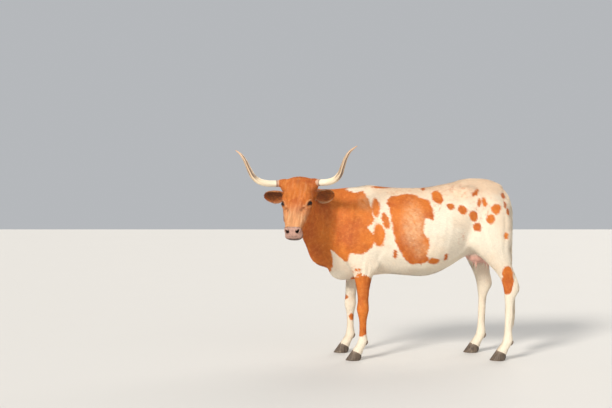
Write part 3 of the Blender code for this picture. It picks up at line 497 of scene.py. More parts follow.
# Ear in the same frame: across, forward, up, half width, depth of its back, depth of its cup
ear = {
    "sweep": {1: 33, -1: 2},
    "tilt": {1: 0, -1: -16},
    "length": {1: 0.95, -1: 1.045},
    "opens": (0.93, -0.36),  # how much forward and how much up
    "rim": 0.0030,
    "step": 0.006,
    "arc": 20,
    "rootPoint": 8,  # where its line leaves the head
    "rootReach": 0.036,
    "rows": [
        (0.080, -0.050, -0.126, 0.020, 0.018, -0.018),
        (0.112, -0.044, -0.136, 0.024, 0.022, -0.014),
        (0.134, -0.040, -0.143, 0.040, 0.032, 0.008),
        (0.160, -0.038, -0.148, 0.053, 0.037, 0.028),
        (0.195, -0.041, -0.151, 0.061, 0.034, 0.028),
        (0.228, -0.046, -0.151, 0.058, 0.028, 0.022),
        (0.256, -0.051, -0.149, 0.046, 0.020, 0.014),
        (0.275, -0.054, -0.147, 0.029, 0.013, 0.008),
        (0.284, -0.056, -0.146, 0.010, 0.007, 0.002),
    ],
}

# Tail: x, z, radius
tail = {
    "sides": 16,
    "step": 0.02,
    "root": (1.575, 0, 1.265),
    "rootReach": 0.075,
    "rows": [
        (1.480, 1.352, 0.036),
        (1.538, 1.322, 0.031),
        (1.588, 1.268, 0.025),
        (1.615, 1.195, 0.0195),
        (1.625, 1.100, 0.0168),
        (1.626, 0.980, 0.0155),
        (1.626, 0.840, 0.0145),
        (1.627, 0.700, 0.0132),
        (1.628, 0.600, 0.0125),
        (1.629, 0.540, 0.0110),
        (1.630, 0.470, 0.0070),
        (1.630, 0.430, 0.0030),
    ],
}

headTurn = math.radians(head["turn"])
faceSlope = math.radians(head["slope"])
heading = Vector((-math.sin(headTurn), -math.cos(headTurn), 0))
rollHead = turned(head["roll"], heading)
across = rollHead @ Vector((math.cos(headTurn), -math.sin(headTurn), 0))
upright = rollHead @ Vector((0, 0, 1))
down = heading * math.sin(faceSlope) - upright * math.cos(faceSlope)
out = heading * math.cos(faceSlope) + upright * math.sin(faceSlope)
poll = Vector(head["poll"])
headAxes = np.array([down, across, out])  # rows are u, v and n


def headPoint(u, v, n):
    return poll + down * u + across * v + out * n


def uprightPoint(acrossBy, forwardBy, upBy):
    return poll + across * acrossBy + heading * forwardBy + upright * upBy


def headSpace(points):  # u, v, n of each point
    return (points - np.array(poll)) @ headAxes.T


def neckRings():
    rings = []
    for x, y, z, turn, rise, upBy, downBy, half, above, below in between(neck["rows"], neck["step"]):
        turn, rise = math.radians(turn), math.radians(rise)
        line = Vector((-math.cos(turn) * math.cos(rise), -math.sin(turn) * math.cos(rise), math.sin(rise)))
        side = Vector((-math.sin(turn), math.cos(turn), 0))
        up = side.cross(line)
        up = -up if up.z < 0 else up
        halves = (half, half, upBy, downBy)
        rings.append(ringPoints((x, y, z), side, up, halves, (above, below), neck["sides"]))
    return rings


def trunkRings():
    rings = []
    for x, top, bottom, half, widest, above, below in between(trunk["rows"], trunk["step"]):
        middle = bottom + widest * (top - bottom)
        halves = (half, half, top - middle, middle - bottom)
        side, up = Vector((0, -1, 0)), Vector((0, 0, 1))
        rings.append(ringPoints((x, 0, middle), side, up, halves, (above, below), trunk["sides"]))
    return rings


def headRings():
    rings = []
    for u, face, jaw, half, widest, above, below in between(head["rows"], head["step"]):
        middle = jaw + widest * (face - jaw)
        halves = (half, half, face - middle, middle - jaw)
        centre, powers = headPoint(u, 0, middle), (above, below)
        rings.append(ringPoints(centre, across, out, halves, powers, head["sides"]))
    return rings


def legShift(z, leg):
    _, _, shift, top, bottom = legs["stance"][leg]
    t = min(1, max(0, (top - z) / (top - bottom)))
    return shift * t * t * (3 - 2 * t)  # in full below the lower height


def legRings(leg):
    kind, flank, _, _, _ = legs["stance"][leg]
    rings = []
    for z, front, back, inner, outer, power in between(legs[kind], legs["step"]):
        length, width = (back - front) / 2, (outer - inner) / 2
        centre = ((front + back) / 2 + legShift(z, leg), flank * (inner + outer) / 2, z)
        halves = (length, length, width, width)
        side, up = Vector((1, 0, 0)), Vector((0, 1, 0))
        rings.append(ringPoints(centre, side, up, halves, (power, power), legs["sides"]))
    return rings


def sweptLine(rows, root, turn):  # points of the upright frame, turned about the root
    return [root + turn @ (uprightPoint(*row[:3]) - root) for row in rows]


def hornLine(side, rows, step):  # centre points and radii along one horn
    rows = between([(side * a, f, u, r) for a, f, u, r in rows], step)
    root = uprightPoint(side * horn["rows"][0][0], *horn["rows"][0][1:3])
    points = sweptLine(rows, root, turned(-horn["droop"][side] * side, heading))
    return points, [row[3] for row in rows]


def bodyForms():
    forms = [loft("trunk", trunkRings()), loft("neck", neckRings()), loft("head", headRings())]
    forms += [loft(leg, legRings(leg)) for leg in legs["stance"]]
    for (x, y, z), radii, lean in muscles["paired"]:
        forms += [ball("muscle", (x, side * y, z), radii, turned(lean, "Y")) for side in (-1, 1)]
    for centre, radii, lean in muscles["middle"]:
        forms.append(ball("muscle", centre, radii, turned(lean, "Y")))
    turn = Matrix((down, across, out)).transposed()
    for (u, v, n), radii in head["paired"]:
        forms += [ball("bone", headPoint(u, side * v, n), radii, turn) for side in (-1, 1)]
    for (u, v, n), radii in head["middle"]:
        forms.append(ball("bone", headPoint(u, v, n), radii, turn))
    for side in (-1, 1):
        forms.append(collarForm(side))
        forms += [teatForm(x, y, side) for x, y in teats["places"]]
    return forms


def collarForm(side):  # the skin that runs out onto the root of the horn
    rows = between(horn["rows"], horn["collarStep"])
    reaches = np.array(horn["collarReach"]) * horn["collarShare"][side]
    nearest = [min(rows, key=lambda row: abs(row[0] - reach)) for reach in reaches]
    points, _ = hornLine(side, nearest, 1.0)  # a step so long that no row is added
    return tube("collar", points, horn["collar"], horn["collarSides"])


def teatForm(x, y, side):
    top = teats["heights"][0]
    aside = [side * (y + teats["outward"] + teats["lean"] * (top - z)) for z in teats["heights"]]
    points = [Vector((x, a, z)) for a, z in zip(aside, teats["heights"])]
    return tube("teat", points, teats["radii"], teats["sides"])


# The skin. It is fused from the forms, smoothed, and sunk by the depth of the coat.
skin = {
    "voxel": 0.006,
    "rounds": 90,
    "softness": 0.5,
    "leg": (0.55, 0.30, 0.04),  # least softness up to this height, more over so much, and the least
    "face": (0.27, 0.12, 0.09),  # the same by the distance from the head's centre
    "bag": (0.90, 0.40, 0.10),  # and in radii from the udder's centre
    "bagCentre": (1.395, 0, 0.80),
    "bagRadii": (0.16, 0.13, 0.13),
    "bodyTriangles": 108000,
    "sparedReach": 0.34,  # the head isn't thinned
    "coatDepth": 0.0058,
    "faceDepth": 0.0014,
    "faceReach": (0.24, 0.36),
    "shankDepth": 0.0018,
    "shankReach": (0.35, 0.75),
    "unwrapAngle": 66,
    "unwrapMargin": 0.002,
}


def neighbourMean(ends, points, degree):
    total = np.zeros_like(points)
    for axis in range(3):
        total[:, axis] = np.bincount(ends[:, 0], points[ends[:, 1], axis], len(points))
        total[:, axis] += np.bincount(ends[:, 1], points[ends[:, 0], axis], len(points))
    return total / degree


def smoothMesh(mesh, rounds, shareOf):
    points = pointsOf(mesh)
    ends = np.empty(len(mesh.edges) * 2, int)
    mesh.edges.foreach_get("vertices", ends)
    ends = ends.reshape(-1, 2)
    degree = np.maximum(np.bincount(ends.ravel(), minlength=len(points)), 1)[:, None]
    share = shareOf(points)[:, None]
    for _ in range(rounds):
        points = points + share * (neighbourMean(ends, points, degree) - points)
    setPoints(mesh, points)


def headDistance(points):
    return np.linalg.norm(points - np.array(headPoint(*head["centre"])), axis=1)


def bodySoftness(points):  # little smoothing on the lower legs, the head and the udder
    udder = np.linalg.norm((points - skin["bagCentre"]) / skin["bagRadii"], axis=1)
    softness = np.ones(len(points))
    for part, values in (("leg", points[:, 2]), ("face", headDistance(points)), ("bag", udder)):
        start, over, least = skin[part]
        softness = np.minimum(softness, np.clip((values - start) / over, least, 1))
    return skin["softness"] * softness


def coatDepth(points):
    face = ease(headDistance(points), *skin["faceReach"])
    shank = ease(points[:, 2], *skin["shankReach"])
    onFace = skin["faceDepth"] + (skin["coatDepth"] - skin["faceDepth"]) * face
    onShank = skin["shankDepth"] + (skin["coatDepth"] - skin["shankDepth"]) * shank
    return np.minimum(onFace, onShank)


def fusedBody():
    body = joinObjects("skin", bodyForms())
    fuse = body.modifiers.new("fuse", "REMESH")
    fuse.mode = "VOXEL"
    fuse.voxel_size = skin["voxel"]
    applyModifiers(body)
    stage(f"forms fused, {len(body.data.polygons)} faces")
    smoothMesh(body.data, skin["rounds"], bodySoftness)
    points, normals = pointsOf(body.data), normalsOf(body.data)
    setPoints(body.data, points - normals * coatDepth(points)[:, None])
    group = body.vertex_groups.new(name="thinned")
    spared = headDistance(points) < skin["sparedReach"]
    group.add(np.flatnonzero(~spared).tolist(), 1.0, "REPLACE")
    group.add(np.flatnonzero(spared).tolist(), 0.02, "REPLACE")
    thin = body.modifiers.new("thin", "DECIMATE")
    thin.use_collapse_triangulate = True
    thin.ratio = skin["bodyTriangles"] / (2 * len(body.data.polygons))
    thin.vertex_group = group.name
    thin.vertex_group_factor = 0.01
    applyModifiers(body)
    body.vertex_groups.clear()
    stage(f"body smoothed and thinned, {len(body.data.polygons)} faces")
    return body


body = fusedBody()


def earLine(side):
    rows = between([(side * ear["length"][side] * row[0], *row[1:]) for row in ear["rows"]], ear["step"])
    return sweptLine(rows, uprightPoint(*rows[0][:3]), turned(ear["sweep"][side] * side, upright)), rows


def earFace(side):  # which way its cup opens
    forward, up = ear["opens"]
    return turned(ear["tilt"][side] * side, across) @ (heading * forward + upright * up)


def earSolid(side):  # a curled leaf: its back is one arc and its cup another
    points, rows = earLine(side)
    count = ear["arc"]
    rings = []
    for k, (_, _, _, half, back, cup) in enumerate(rows):
        line = lineAt(points, k)
        face = earFace(side)
        face = (face - line * face.dot(line)).normalized()
        wide = line.cross(face)
        inner = max(half - ear["rim"], half * 0.4)
        turns = [(math.pi * j / count, half, back) for j in range(count + 1)]
        turns += [(math.pi * (1 - j / count), inner, cup) for j in range(count + 1)]
        rings.append([points[k] + wide * (w * math.cos(t)) - face * (d * math.sin(t)) for t, w, d in turns])
    return loft("ear", rings)


def tailSolid():
    rows = between([(x, z, 0, r) for x, z, r in tail["rows"]], tail["step"])
    points = [Vector((row[0], 0, row[1])) for row in rows]
    return tube("tail", points, [row[3] for row in rows], tail["sides"])


hoof = {
    "front": 0.080,  # height of the coronet at the toe, and at the heel
    "back": 0.046,
    "frontRow": 0.085,  # heights of the leg's rows that the coronet and the dewclaws follow
    "backRow": 0.050,
    "dewclawRow": 0.145,
    "toeSlope": 55,
    "heelSlope": 72,
    "heelTuck": 0.008,  # how far the heel draws in under the hair
    "cleft": 0.006,
    "width": 0.047,
    "sides": 40,
    "powers": (2.3, 2.0),
    "pinch": 0.25,  # how much narrower the claw is at the toe
    "rings": [  # height, and share of the width
        (0.0, 0.96), (0.002, 0.99), (0.007, 1.01), (0.014, 1.02), (0.024, 1.01), (0.032, 0.99),
        (0.040, 0.98), (0.048, 0.97), (0.060, 0.96), (0.082, 0.94), (0.104, 0.93),
    ],
    "dewclawHeight": 0.138,
    "dewclawSpread": 0.021,
    "dewclawSet": 0.014,
    "dewclawLean": 28,
    "dewclawRadii": (0.0155, 0.0120, 0.0205),
    "dewclawTip": 0.62,  # its width there, as a share
}


def legRow(leg, height):
    return next(row for row in legs[legs["stance"][leg][0]] if row[0] == height)


def coronet(leg):  # a point and the normal of the plane where the skin ends
    front = legRow(leg, hoof["frontRow"])[1] + legShift(hoof["frontRow"], leg)
    back = legRow(leg, hoof["backRow"])[2] + legShift(hoof["backRow"], leg)
    slope = (hoof["back"] - hoof["front"]) / (back - front)
    return front, back, Vector((front, 0, hoof["front"])), Vector((-slope, 0, 1)).normalized()


def footOf(bm, leg):  # the skin that the coronet's plane may cut
    side = legs["stance"][leg][1]
    front, back, _, _ = coronet(leg)
    low = [vert for vert in bm.verts if vert.co.z < 0.16 and vert.co.y * side > 0]
    foot = [vert for vert in low if front - 0.1 < vert.co.x < back + 0.1]
    faces = once(face for vert in foot for face in vert.link_faces)
    return faces + once(edge for face in faces for edge in face.edges) + foot


def growOut(body):
    for side in (-1, 1):
        addSolid(body, earSolid(side))
    addSolid(body, tailSolid())
    bm = openMesh(body.data)
    for leg in legs["stance"]:
        _, _, point, normal = coronet(leg)
        bmesh.ops.bisect_plane(bm, geom=footOf(bm, leg), plane_co=point, plane_no=normal, clear_inner=True)
    fillHoles(bm)
    splitFaces(bm, 4)
    roots = [(earLine(side)[0][ear["rootPoint"]], ear["rootReach"]) for side in (-1, 1)]
    for place, reach in roots + [(Vector(tail["root"]), tail["rootReach"])]:
        soften(bm, [vert for vert in bm.verts if (vert.co - place).length < reach], 4)
    closeMesh(bm, body.data)
    stage(f"ears, tail and feet made, {len(body.data.polygons)} faces")


growOut(body)


# Fine shapes worked into the skin. Each fold is a line laid on the skin: how it is laid, its
# points, its width and its height, in metres; the height is negative for a groove.
# side: x, z on both flanks. left: the same on her left only. face: u, v. cheek: u, n.
folds = [
    # between neck and shoulder, behind the shoulder, and the spine of the shoulder blade
    ("side", [(0.262, 1.240), (0.238, 1.120), (0.222, 0.990), (0.235, 0.860)], 0.020, -0.006),
    ("side", [(0.505, 1.260), (0.548, 1.120), (0.560, 0.990), (0.572, 0.880)], 0.024, -0.006),
    ("side", [(0.385, 1.260), (0.368, 1.140), (0.330, 1.010)], 0.015, 0.0035),
    ("side", [(0.345, 0.985), (0.400, 0.930), (0.450, 0.860)], 0.016, -0.004),  # upper arm
    ("side", [(0.548, 0.800), (0.580, 0.845), (0.600, 0.900)], 0.014, -0.004),  # behind the elbow
    ("side", [(0.440, 0.810), (0.432, 0.720), (0.428, 0.620)], 0.010, -0.0035),  # forearm
    ("side", [(0.480, 0.790), (0.478, 0.700), (0.466, 0.600)], 0.009, -0.003),
    # hollow and fold of the flank, and thigh
    ("side", [(1.205, 1.330), (1.185, 1.255), (1.210, 1.165)], 0.045, -0.010),
    ("side", [(1.300, 0.960), (1.235, 0.870), (1.140, 0.800), (1.050, 0.770)], 0.020, 0.007),
    ("side", [(1.300, 1.230), (1.345, 1.090), (1.385, 0.960), (1.430, 0.860)], 0.018, -0.005),
    ("side", [(1.535, 1.190), (1.545, 1.060), (1.535, 0.930), (1.548, 0.830)], 0.015, -0.005),
    ("side", [(1.480, 0.880), (1.520, 0.790), (1.568, 0.700)], 0.012, -0.004),  # gaskin
    ("side", [(1.610, 0.740), (1.622, 0.680), (1.632, 0.630)], 0.010, -0.006),  # in front of the hamstring
    ("side", [(1.560, 0.600), (1.575, 0.560), (1.580, 0.520)], 0.012, 0.002),
    ("side", [(1.598, 0.480), (1.597, 0.380), (1.594, 0.260)], 0.006, -0.0025),  # tendons of the hind cannon
    ("side", [(0.455, 0.340), (0.455, 0.280), (0.453, 0.210)], 0.006, -0.0025),  # tendons of the fore cannon
    ("side", [(0.398, 0.440), (0.402, 0.410), (0.400, 0.380)], 0.014, 0.002),  # knee
    # wrinkles on the inside of the bend of her neck
    ("left", [(0.030, 1.300), (0.045, 1.200), (0.020, 1.090), (-0.020, 1.010)], 0.008, -0.0050),
    ("left", [(0.075, 1.310), (0.098, 1.200), (0.080, 1.080), (0.040, 0.970)], 0.009, -0.0055),
    ("left", [(0.120, 1.300), (0.150, 1.190), (0.138, 1.060), (0.098, 0.930)], 0.010, -0.0050),
    ("left", [(0.170, 1.290), (0.200, 1.170), (0.188, 1.030), (0.150, 0.890)], 0.011, -0.0040),
    ("left", [(0.050, 1.200), (0.060, 1.120), (0.040, 1.030)], 0.007, 0.0025),
    ("left", [(0.120, 1.180), (0.120, 1.080), (0.090, 0.980)], 0.008, 0.0025),
    ("face", [(0.130, 0.070), (0.155, 0.078), (0.180, 0.078)], 0.007, 0.0030),  # brow
    ("face", [(0.165, 0.064), (0.185, 0.070), (0.205, 0.071)], 0.004, -0.0020),
    ("face", [(0.248, 0.082), (0.266, 0.066), (0.274, 0.048)], 0.007, -0.0038),  # fold under the eye
    ("face", [(0.236, 0.080), (0.250, 0.066), (0.256, 0.046)], 0.005, 0.0022),
    ("face", [(0.150, 0.058), (0.175, 0.063), (0.200, 0.064)], 0.004, -0.0014),
    ("face", [(0.245, 0.072), (0.280, 0.062), (0.315, 0.054)], 0.010, -0.0030),  # tear groove
    ("face", [(0.250, 0.044), (0.320, 0.040), (0.390, 0.036)], 0.010, 0.0020),  # edge of the nose bone
    ("face", [(0.255, 0.058), (0.320, 0.054), (0.385, 0.050)], 0.010, -0.0028),
    ("face", [(0.060, 0.000), (0.110, 0.000), (0.160, 0.000)], 0.022, 0.0020),  # middle of the forehead
    ("face", [(0.120, 0.040), (0.160, 0.036), (0.200, 0.030)], 0.020, -0.0025),
    ("face", [(0.440, 0.000), (0.462, 0.000), (0.482, 0.000)], 0.0035, -0.0018),  # groove of the nose
    ("face", [(0.418, 0.052), (0.424, 0.062), (0.436, 0.068)], 0.005, -0.0025),  # behind the nostril
    ("cheek", [(0.245, -0.085), (0.300, -0.082), (0.360, -0.078)], 0.009, 0.0028),  # cheekbone
    ("cheek", [(0.262, -0.075), (0.290, -0.115), (0.305, -0.160)], 0.011, -0.0035),  # front of the jaw muscle
    ("cheek", [(0.130, -0.150), (0.200, -0.185), (0.270, -0.180)], 0.014, -0.0030),  # jaw line
    ("cheek", [(0.300, -0.150), (0.350, -0.140), (0.395, -0.128)], 0.009, -0.0022),
    ("cheek", [(0.385, -0.092), (0.395, -0.104), (0.394, -0.118)], 0.005, -0.0025),  # corner of the mouth
    ("cheek", [(0.330, -0.095), (0.350, -0.108), (0.372, -0.110)], 0.006, -0.0016),
    ("cheek", [(0.120, -0.075), (0.120, -0.110), (0.105, -0.140)], 0.012, -0.0030),  # behind the cheek
]
ribs = {
    "from": 0.700,
    "every": 0.062,
    "count": 7,
    "line": [(0.050, 1.22), (0.055, 1.08), (0.035, 0.93), (-0.010, 0.80)],
    "width": 0.020,
    "height": 0.0022,
}

# An eye's axes: look points out of the head, line runs along the opening and upper across it.
# Its opening is measured by a level that is 1 on the lids' edge and grows away from it.
eye = {
    "radius": 0.0205,
    "spot": (0.206, 0.097, -0.044),
    "look": (0.69, 0.72, 0.06),  # shares of across, out and down
    "line": (-0.50, 0.48),  # across and out, beside the whole of down
    "front": 0.0215,  # half length of the opening towards the nose, and towards the ear
    "rear": 0.0185,
    "above": 0.0125,
    "below": 0.0112,
    "power": 1.65,
    "lidRadius": 0.0242,
    "coneFrom": 0.75,  # past this share of the radius the lids run out as a cone
    "coneSlope": 1.134,
    "reach": 0.052,
    "behind": -0.004,  # what lies further back than this is left alone
    "crease": (1.62, 0.15),  # the fold over the lid: its level and width
    "creaseDepth": (0.0007, 0.0013),  # all round, and more of it above
    "swell": (1.25, 0.14),
    "swellHeight": 0.0006,
}
nostril = {
    "spot": (0.451, 0.044),
    "aim": (0.76, 0.52, 0.38),  # shares of out, down and across
    "wideAim": (0.85, 0.50),  # across and out
    "long": 0.0170,
    "wide": 0.0112,
    "bend": 20.0,
    "bendFrom": -0.006,
    "lift": 0.003,
    "depth": 0.028,
    "reach": 0.034,
    "rim": (1.35, 0.22),  # level and width of the raised rim
    "rimHeight": 0.0018,
}
mouth = {
    "line": -0.085,
    "pivot": 0.445,
    "reach": 128,
    "points": 25,
    "dip": 0.010,
    "dipFrom": 0.55,
    "depth": 0.0045,
    "width": 0.0022,
    "lipWidth": 0.0070,
    "lipHeight": 0.0014,
}
fineReach = [(0.070, 0.045, 0.022), (0.040, 0.030, 0.009)]  # round the eyes, nostrils and lips, in two goes


def treeOf(mesh):
    bm = openMesh(mesh)
    found = BVHTree.FromBMesh(bm)
    bm.free()
    return found


def laidOn(tree, kind, a, b, side):  # the point of the skin where a ray from outside first meets it
    if kind == "face":
        start, aim = headPoint(a, side * b, 0.3), -out
    elif kind == "cheek":
        start, aim = headPoint(a, side * 0.4, b), -across * side
    else:
        start, aim = Vector((a, side * 2, b)), Vector((0, -side, 0))
    return tree.ray_cast(start, aim)[0]


def lineDistance(points, line):  # distance from a line of points, and the share of its length there
    best = np.full(len(points), 9.0)
    share = np.zeros(len(points))
    for k, (a, b) in enumerate(zip(line, line[1:])):
        a, step = np.array(a), np.array(b) - np.array(a)
        t = np.clip(((points - a) @ step) / max(step @ step, 1e-12), 0, 1)
        distance = np.linalg.norm(points - a - t[:, None] * step, axis=1)
        nearer = distance < best
        best[nearer] = distance[nearer]
        share[nearer] = (k + t[nearer]) / (len(line) - 1)
    return best, share


def pressLine(points, normals, line, width, height):  # fades out at both ends
    low, high = np.min(line, axis=0) - 3 * width, np.max(line, axis=0) + 3 * width
    near = np.flatnonzero(np.all((points > low) & (points < high), axis=1))
    distance, share = lineDistance(points[near], line)
    ends = np.sqrt(np.clip(np.sin(math.pi * np.clip(share, 0.02, 0.98)), 0, 1))
    points[near] += normals[near] * (height * hump(distance, 0, width) * ends)[:, None]


def refine(bm, wanted):  # halves the edges that lie wholly in the wanted part
    edges = [e for e in bm.edges if wanted[e.verts[0].index] and wanted[e.verts[1].index]]
    bmesh.ops.subdivide_edges(bm, edges=edges, cuts=1, use_grid_fill=True)
    splitFaces(bm, 3)
    bm.verts.index_update()


def mouthLine(tree):  # where rays from all round the muzzle meet it, from corner to corner
    points = []
    half = (mouth["points"] - 1) // 2
    for k in range(mouth["points"]):
        angle = math.radians(mouth["reach"] * (k / half - 1))
        away = (down * math.cos(angle) + across * math.sin(angle)).normalized()
        drop = mouth["dip"] * max(0, abs(k - half) / half - mouth["dipFrom"])
        middle = headPoint(mouth["pivot"], 0, mouth["line"] - drop)
        points.append(tree.ray_cast(middle + away * 0.2, -away)[0])
    return points


def squared(first, second):  # the second axis at a right angle to the first, and a third one upwards
    second = (second - first * second.dot(first)).normalized()
    third = first.cross(second)
    return first, second, third if third.dot(out) > 0 else -third


def eyeFrame(side):  # its centre, look, line and upper
    u, v, n = eye["spot"]
    aside, outward, downward = eye["look"]
    look = (across * side * aside + out * outward + down * downward).normalized()
    aside, outward = eye["line"]
    line = (down + across * side * aside + out * outward).normalized()
    return headPoint(u, side * v, n), *squared(look, line)


def nostrilFrame(tree, side):  # its place on the skin, and its axes outward, wide and tall
    u, v = nostril["spot"]
    place = tree.ray_cast(headPoint(u, side * v, 0.1), -out)[0]
    outward, downward, aside = nostril["aim"]
    aim = (out * outward + down * downward + across * side * aside).normalized()
    aside, outward = nostril["wideAim"]
    wide = (across * side * aside + out * outward).normalized()
    return place, *squared(aim, wide)


def openingLevel(a, b):  # 1 on the edge of the opening between the lids, more outside it
    long = np.where(a > 0, eye["front"], eye["rear"])
    high = np.where(b > 0, eye["above"], eye["below"])
    power = eye["power"]
    return (np.abs(a / long) ** power + np.abs(b / high) ** power) ** (1 / power)


def lidHeight(r, radius):  # a ball that runs out into a cone
    steep = eye["coneFrom"] * radius
    inner = np.sqrt(np.maximum(radius * radius - np.minimum(r, steep) ** 2, 0))
    return inner - np.maximum(r - steep, 0) * eye["coneSlope"]


def lidsOver(local, level):  # the lids bulge over the ball, with a crease round them
    lids = lidHeight(np.linalg.norm(local[:, :2], axis=1), eye["lidRadius"])
    wanted = lids + ease(level, 1.1, 1.5) * np.maximum(local[:, 2] - lids, 0)
    height = local[:, 2] + (1 - ease(level, 1.3, 2.4)) * (wanted - local[:, 2])
    allRound, above = eye["creaseDepth"]
    height -= (allRound + above * ease(local[:, 1], -0.004, 0.006)) * hump(level, *eye["crease"])
    return height + eye["swellHeight"] * hump(level, *eye["swell"])


def openEye(bm, side):
    centre, look, line, upper = eyeFrame(side)
    axes = np.array([line, upper, look])
    near = [vert for vert in bm.verts if (vert.co - centre).length < eye["reach"]]
    local = (np.array([vert.co for vert in near]) - np.array(centre)) @ axes.T
    near = [vert for vert, ahead in zip(near, local[:, 2]) if ahead > eye["behind"]]
    local = local[local[:, 2] > eye["behind"]]
    level = openingLevel(local[:, 0], local[:, 1])
    local[:, 2] = lidsOver(local, level)
    for vert, place in zip(near, local @ axes + np.array(centre)):
        vert.co = place
    inside = {vert for vert, value in zip(near, level) if value < 1.0}
    gone = [face for face in bm.faces if all(vert in inside for vert in face.verts)]
    bmesh.ops.delete(bm, geom=gone, context="FACES")
    rim = [edge for edge in bm.edges if edge.is_boundary and (edge.verts[0].co - centre).length < 0.04]

    def settle(verts, shrink, sink, radius):  # onto a smaller opening, on a ball of that radius
        for vert in verts:
            a, b, _ = Matrix(axes.tolist()) @ (vert.co - centre)
            value = float(openingLevel(np.array([a]), np.array([b]))[0])
            a, b = a * shrink / value, b * shrink / value
            ahead = float(lidHeight(np.array([math.hypot(a, b)]), radius)[0]) - sink
            vert.co = centre + line * a + upper * b + look * ahead

    rimVerts = {vert for edge in rim for vert in edge.verts}
    settle(rimVerts, 1.0, 0.0, eye["lidRadius"])
    soft = [vert for vert, value in zip(near, level) if 1.0 <= value < 1.7 and vert.is_valid]
    soften(bm, [vert for vert in soft if vert not in rimVerts], 3)
    # the thickness of the lids, then the wet edge on the ball, then what lies behind them
    inward = [(0.965, 0.0010, eye["lidRadius"]), (0.93, 0.0006, eye["radius"]), (0.70, 0.0060, eye["radius"])]
    for shrink, sink, radius in inward:
        fresh = extruded(bm, rim)
        settle(fresh, shrink, sink, radius)
        edges = once(edge for vert in fresh for edge in vert.link_edges)
        rim = [edge for edge in edges if all(vert in fresh for vert in edge.verts)]
    bmesh.ops.holes_fill(bm, edges=rim, sides=0)


def refineFace(body, lipLine, nostrils):
    bm = openMesh(body.data)
    bm.verts.index_update()
    for eyeReach, noseReach, lipReach in fineReach:
        points = np.array([vert.co for vert in bm.verts])
        fine = lineDistance(points, lipLine)[0] < lipReach
        for side in (-1, 1):
            fine |= np.linalg.norm(points - np.array(eyeFrame(side)[0]), axis=1) < eyeReach
            fine |= np.linalg.norm(points - np.array(nostrils[side][0]), axis=1) < noseReach
        refine(bm, fine)
        soften(bm, [vert for vert, near in zip(bm.verts, fine) if near])
    closeMesh(bm, body.data)


def pressNostril(points, normals, frame):
    place, outward, wide, tall = frame
    away = points - np.array(place)
    close = np.linalg.norm(away, axis=1) < nostril["reach"]
    near = np.flatnonzero(close & (normals @ np.array(outward) > 0.1))
    a, b = away[near] @ np.array(wide), away[near] @ np.array(tall)
    b = b - nostril["bend"] * np.maximum(a - nostril["bendFrom"], 0) ** 2 + nostril["lift"]
    level = np.hypot(a / nostril["long"], b / nostril["wide"])
    hole = nostril["depth"] * (1 - ease(level, 0.45, 1.08))
    push = nostril["rimHeight"] * hump(level, *nostril["rim"]) - hole
    points[near] += np.outer(push, outward)


def shapeSkin(body):
    tree = treeOf(body.data)
    lipLine = [np.array(point) for point in mouthLine(tree)]
    nostrils = {side: nostrilFrame(tree, side) for side in (-1, 1)}
    refineFace(body, lipLine, nostrils)
    points, normals = pointsOf(body.data), normalsOf(body.data)
    for kind, places, width, height in folds:
        for side in (-1, 1) if kind != "left" else (-1,):
            line = [laidOn(tree, kind, a, b, side) for a, b in places]
            line = [np.array(point) for point in line if point is not None]
            if len(line) > 1:
                pressLine(points, normals, line, width, height)
    for k in range(ribs["count"]):
        x = ribs["from"] + ribs["every"] * k
        for side in (-1, 1):
            line = [np.array(laidOn(tree, "side", x + a, b, side)) for a, b in ribs["line"]]
            pressLine(points, normals, line, ribs["width"], ribs["height"])
    pressLine(points, normals, lipLine, mouth["lipWidth"], mouth["lipHeight"])
    pressLine(points, normals, lipLine, mouth["width"], -mouth["depth"])
    for frame in nostrils.values():
        pressNostril(points, normals, frame)
    setPoints(body.data, points)
    bm = openMesh(body.data)
    for side in (-1, 1):
        openEye(bm, side)
    splitFaces(bm, 4)
    closeMesh(bm, body.data)
    stage(f"folds, eyes, nostrils and mouth worked in, {len(body.data.polygons)} faces")
    return nostrils


nostrilFrames = shapeSkin(body)


# An unwrap of the skin's own shape. Each tuft is a small patch of it, at its root's place.
def unwrap(body):
    body.data.uv_layers.new(name="OFBake")
    bpy.context.view_layer.objects.active = body
    body.select_set(True)
    bpy.ops.object.mode_set(mode="EDIT")
    bpy.ops.mesh.select_all(action="SELECT")
    angle = math.radians(skin["unwrapAngle"])
    bpy.ops.uv.smart_project(angle_limit=angle, island_margin=skin["unwrapMargin"])
    bpy.ops.object.mode_set(mode="OBJECT")
    body.select_set(False)
    stage("skin unwrapped")


unwrap(body)

